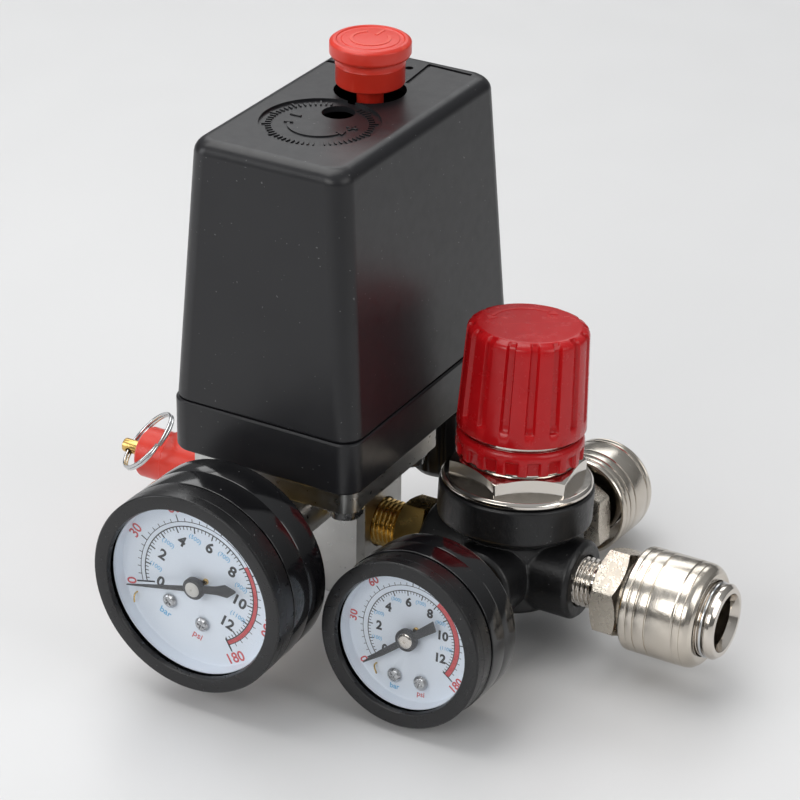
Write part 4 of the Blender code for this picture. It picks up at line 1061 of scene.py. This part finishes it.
def make_lock_ring():
    rows = [
        (14.8, 36.7, 0), (14.8, 30.7, 0), (15.3, 30.65, 0), (16.0, 30.6, 0.9), (16.25, 30.7, 1.0),
        (16.4, 31.1, 1.0), (16.4, 33.9, 1.0), (16.4, 34.15, 0.8), (16.4, 34.3, 0.2), (16.4, 34.5, 0),
        (16.35, 35.6, 0), (16.1, 36.3, 0), (15.7, 36.7, 0), (15.2, 36.8, 0)]
    ring = loft(wavy(rows, 18, 0.85, 0.43, flank=0.10), close=True)
    put("knob_lock_ring", ring, REGULATOR, "knob_red", ["lock_ring"], 50, "knob_lock")


def make_knob():
    bottom = 38.2
    ridge_foot = 42.4
    shoulder = 63.6
    wide = 16.6
    narrow = 15.47

    def wall(z):
        return wide + (narrow - wide) * (z - bottom) / (shoulder - bottom)

    rows = [
        (0.5, 46.0, 0), (14.9, 46.0, 0), (14.9, bottom, 0), (16.1, bottom, 0), (16.45, bottom + 0.1, 0),
        (wide, bottom + 0.5, 0)]
    rows += [(wall(z), z, deep) for z, deep in ((41.9, 0), (42.02, 0.12), (42.2, 0.85))]
    for i in range(12):
        z = ridge_foot + (shoulder - ridge_foot) * i / 11
        rows.append((wall(z), z, 1.0))
    rows += [
        (15.36, 64.1, 1.0), (15.12, 64.55, 1.0), (14.75, 64.9, 0.95), (14.4, 65.15, 0.75),
        (14.0, 65.35, 0.4), (13.6, 65.5, 0.1), (13.3, 65.62, 0), (13.0, 65.66, 0), (12.6, 65.66, 0),
        (6.0, 65.7, 0), (0.5, 65.7, 0)]
    knob = loft(wavy(rows, 16, 1.0, 0.66, flank=0.10))
    screw = threaded(2.95, 2.5, 26.0, 46.5, 1.25, 32, 8)
    body = "pressure_knob"
    put("pressure_knob_grip", knob, REGULATOR, "knob_red", ["regulator_knob"], 50, body)
    put("pressure_knob_screw", screw, REGULATOR, "zinc", body=body)
    low, high = 65.6, 65.79
    marks = [arc_band(9.3, 10.2, 75, 175, low, high, 40)]
    for side, angle in ((1, 178), (-1, 72)):
        marks.append(arrow_head(2.6, 1.5, low, high, 9.75, angle, side))
    marks.append(moved(sign(2.0, 0.6, low, high, False), -6.6, 0.8))
    marks.append(moved(sign(2.2, 0.6, low, high, True), 4.0, 6.6))
    put("pressure_knob_marks", spun(merged(*marks), 12), REGULATOR, "knob_red", body=body)


# ---------------------------------------------------------------- couplers

def make_coupler(side, place, boss, hex_turn):
    """Quick coupler screwed into a boss of the regulator that ends at the height boss."""
    prefix = f"{side}_coupler"
    mouth = boss + 39.9
    sleeve_end = boss + 35.5
    outer = lathed([
        (0, boss + 4), (5.9, boss + 4), (5.9, boss + 12), (9.6, boss + 12), (9.6, sleeve_end + 0.4),
        (8.8, sleeve_end + 0.6), (8.8, sleeve_end + 1.7), (9.5, sleeve_end + 2.0, 0.2),
        (9.8, sleeve_end + 2.5, 0.3), (9.8, mouth - 1.1, 0.3), (8.9, mouth - 0.05, 0.3), (8.0, mouth, 0.2),
        (0, mouth)], 0.15, FINE_LATHE)
    thread = quarter_inch(boss - 7.5, boss + 7.2)
    grip = chamfered_hex(21.0, boss + 6.7, boss + 14.0, hex_turn, 0.3)
    bore = lathed([
        (0, boss + 17), (6.9, boss + 17), (6.9, mouth - 2.2), (7.3, mouth - 0.9, 0.2), (7.9, mouth + 0.6),
        (0, mouth + 0.6)], 0.1, FINE_LATHE)
    solid = cut(united(outer, thread), bore, rod(3.2, boss - 9, boss + 18))
    put(f"{prefix}_core", solid, place, "nickel_bright", [f"{prefix}_body"], 30)
    nut = cut(grip, rod(6.0, boss, boss + 20))
    put(f"{prefix}_hex", nut, place, "nickel_rough")
    start = boss + 16.0
    points = [
        (12.7, start, 0.1), (13.3, start, 0.2), (13.56, start + 0.5, 0.2), (13.56, start + 1.6, 0.1),
        (13.3, start + 1.8, 0.1), (13.3, start + 2.1, 0.1), (13.56, start + 2.3, 0.1)]
    for at in (4.2, 7.4):
        points += [
            (13.56, start + at - 0.3, 0.08), (13.2, start + at - 0.12, 0.08),
            (13.2, start + at + 0.12, 0.08), (13.56, start + at + 0.3, 0.08)]
    points += [
        (13.56, start + 14.1, 0.1), (13.2, start + 14.45, 0.1), (13.2, start + 14.8, 0.1),
        (13.55, start + 15.0, 0.1), (13.5, start + 16.5, 0.05), (13.3, start + 16.65, 0.05),
        (13.45, start + 16.85, 0.05), (13.2, start + 17.8, 0.5), (12.4, start + 18.9, 0.6),
        (11.6, sleeve_end, 0.3), (9.95, sleeve_end), (9.95, start + 8.0), (12.7, start + 8.0)]
    put(f"{prefix}_ring", lathed(points, 0.1, 160), place, "nickel",
        [f"{prefix}_sleeve"], 30, f"{side}_sleeve")
    path = []
    for i in range(49):
        angle = math.radians(20 + 320 * i / 48)
        path.append((9.5 * math.cos(angle), 9.5 * math.sin(angle), sleeve_end + 1.15))
    put(f"{prefix}_wire_clip", sweep(path, 0.4, 10), place, "wire",
        [f"{prefix}_retaining_clip"])
    poppet = lathed([
        (0, boss + 18.2), (2.4, boss + 18.2), (2.4, boss + 22), (6.3, boss + 22), (6.3, boss + 24.2, 0.4),
        (3.4, boss + 25.6, 0.6), (0, boss + 25.6)], 0.3)
    put(f"{prefix}_valve_poppet", poppet, place, "brass", [f"{prefix}_poppet"],
        body=f"{side}_valve")


# ---------------------------------------------------------------- pieces kept from the CAD

KEPT = {
    "switch_diaphragm": "rubber", "diaphragm_plunger": "grey", "rocker_lever": "zinc", "main_spring": "wire",
    "range_screw": "zinc", "terminal_block": "grey", "contact_bridge": "copper",
    "tank_gauge_movement": "brass", "tank_gauge_bourdon_tube": "copper", "tank_gauge_sector": "brass",
    "outlet_gauge_movement": "brass", "outlet_gauge_bourdon_tube": "copper", "outlet_gauge_sector": "brass",
    "regulator_diaphragm": "rubber", "spring_nut": "brass", "regulator_spring": "wire",
    "regulator_poppet": "brass",
}


def finish_kept():
    """The inner pieces keep their CAD shape and get a better material."""
    for node, look in KEPT.items():
        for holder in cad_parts[node].material_slots:
            holder.material = LOOKS[look]


# ---------------------------------------------------------------- camera, light and floor

def make_camera():
    """Long lens, from the right of the front and from above, turned a little about its own axis."""
    azimuth = math.radians(29.514)
    elevation = math.radians(27.830)
    roll = math.radians(0.675)
    target = Vector((-3.723, 6.83, 56.088)) * MM
    distance = 783.302 * MM
    back = Vector((math.sin(azimuth) * math.cos(elevation), -math.cos(azimuth) * math.cos(elevation),
                   math.sin(elevation)))
    level = Vector((math.cos(azimuth), math.sin(azimuth), 0))
    upright = back.cross(level)
    right = level * math.cos(roll) + upright * math.sin(roll)
    up = upright * math.cos(roll) - level * math.sin(roll)
    place = Matrix((right, up, back)).transposed().to_4x4()
    place.translation = target + back * distance
    data = bpy.data.cameras.new("camera")
    data.lens = 137.21
    data.sensor_width = 36.0
    data.clip_start = 0.01
    data.clip_end = 20.0
    holder = linked("camera", data)
    holder.matrix_world = place
    bpy.context.scene.camera = holder


def area_light(name, position, width, height, power, colour):
    """Soft rectangular light that points at the middle of the part."""
    data = bpy.data.lights.new(name, "AREA")
    data.shape = "RECTANGLE"
    data.size = width
    data.size_y = height
    data.energy = power
    data.color = colour
    direction = Vector((0, 0, 0.06)) - Vector(position)
    facing = direction.to_track_quat("-Z", "Y").to_matrix().to_4x4()
    linked(name, data).matrix_world = Matrix.Translation(position) @ facing


def make_studio():
    """Soft lights all round, and a sky that is dark below the horizon and pale overhead."""
    warm = (1.0, 0.995, 0.98)
    area_light("overhead", (-0.40, 0.10, 1.15), 1.1, 0.9, 8.8, warm)
    area_light("behind", (-0.55, 1.05, 0.90), 1.3, 0.5, 3.6, (0.99, 0.995, 1.0))
    area_light("left", (-1.0, -0.75, 0.45), 0.5, 0.6, 3.4, (0.97, 0.985, 1.0))
    area_light("front", (-0.10, -1.25, 0.75), 0.9, 0.6, 6.0, warm)
    area_light("right", (1.15, -0.05, 0.70), 0.8, 0.7, 3.6, (1.0, 0.99, 0.97))
    bpy.context.scene.view_settings.view_transform = "Standard"
    world = bpy.data.worlds.new("studio")
    bpy.context.scene.world = world
    world.use_nodes = True
    nodes = world.node_tree.nodes
    links = world.node_tree.links
    coords = nodes.new("ShaderNodeTexCoord")
    split = nodes.new("ShaderNodeSeparateXYZ")
    rise = nodes.new("ShaderNodeMapRange")
    rise.inputs["From Min"].default_value = -1.0
    ramp = nodes.new("ShaderNodeValToRGB")
    horizon, zenith = ramp.color_ramp.elements
    horizon.position = 0.42
    horizon.color = (0.055, 0.053, 0.050, 1)
    zenith.position = 0.95
    zenith.color = (0.42, 0.43, 0.44, 1)
    links.new(coords.outputs["Generated"], split.inputs["Vector"])
    links.new(split.outputs["Z"], rise.inputs["Value"])
    links.new(rise.outputs["Result"], ramp.inputs["Fac"])
    links.new(ramp.outputs["Color"], nodes["Background"].inputs["Color"])


def make_floor():
    graph = Graph("pale_table")
    drift = graph.noise(3.0, 2.0)
    graph.link(graph.mix(drift, (0.69, 0.69, 0.695), (0.72, 0.72, 0.725)), "Base Color")
    graph.link(graph.ranged(graph.noise(40.0, 3.0), 0.3, 0.7, 0.32, 0.40), "Roughness")
    graph.shader.inputs["Specular IOR Level"].default_value = 0.35
    graph.link(graph.bump(graph.noise(700.0, 2.0), 0.01 * MM), "Normal")
    half = 3.0
    mesh = mesh_from("floor", prism(rounded_rectangle(-half, half, -half, half, 0.5), -0.02, 0.0))
    mesh.materials.append(graph.material)
    floor = linked("floor", mesh)
    floor.location = (0, 0, -0.0001)


make_manifold()
make_bolts()
make_base()
make_cover()
make_button()
make_gland()
make_gauge(TANK)
make_gauge(OUTLET)
make_relief()
make_nipple()
make_regulator_body()
make_bonnet()
make_lock_ring()
make_knob()
make_coupler("side", SIDE_COUPLER, 21.0, 10)
make_coupler("rear", REAR_COUPLER, 23.0, 25)
finish_kept()
make_camera()
make_studio()
make_floor()
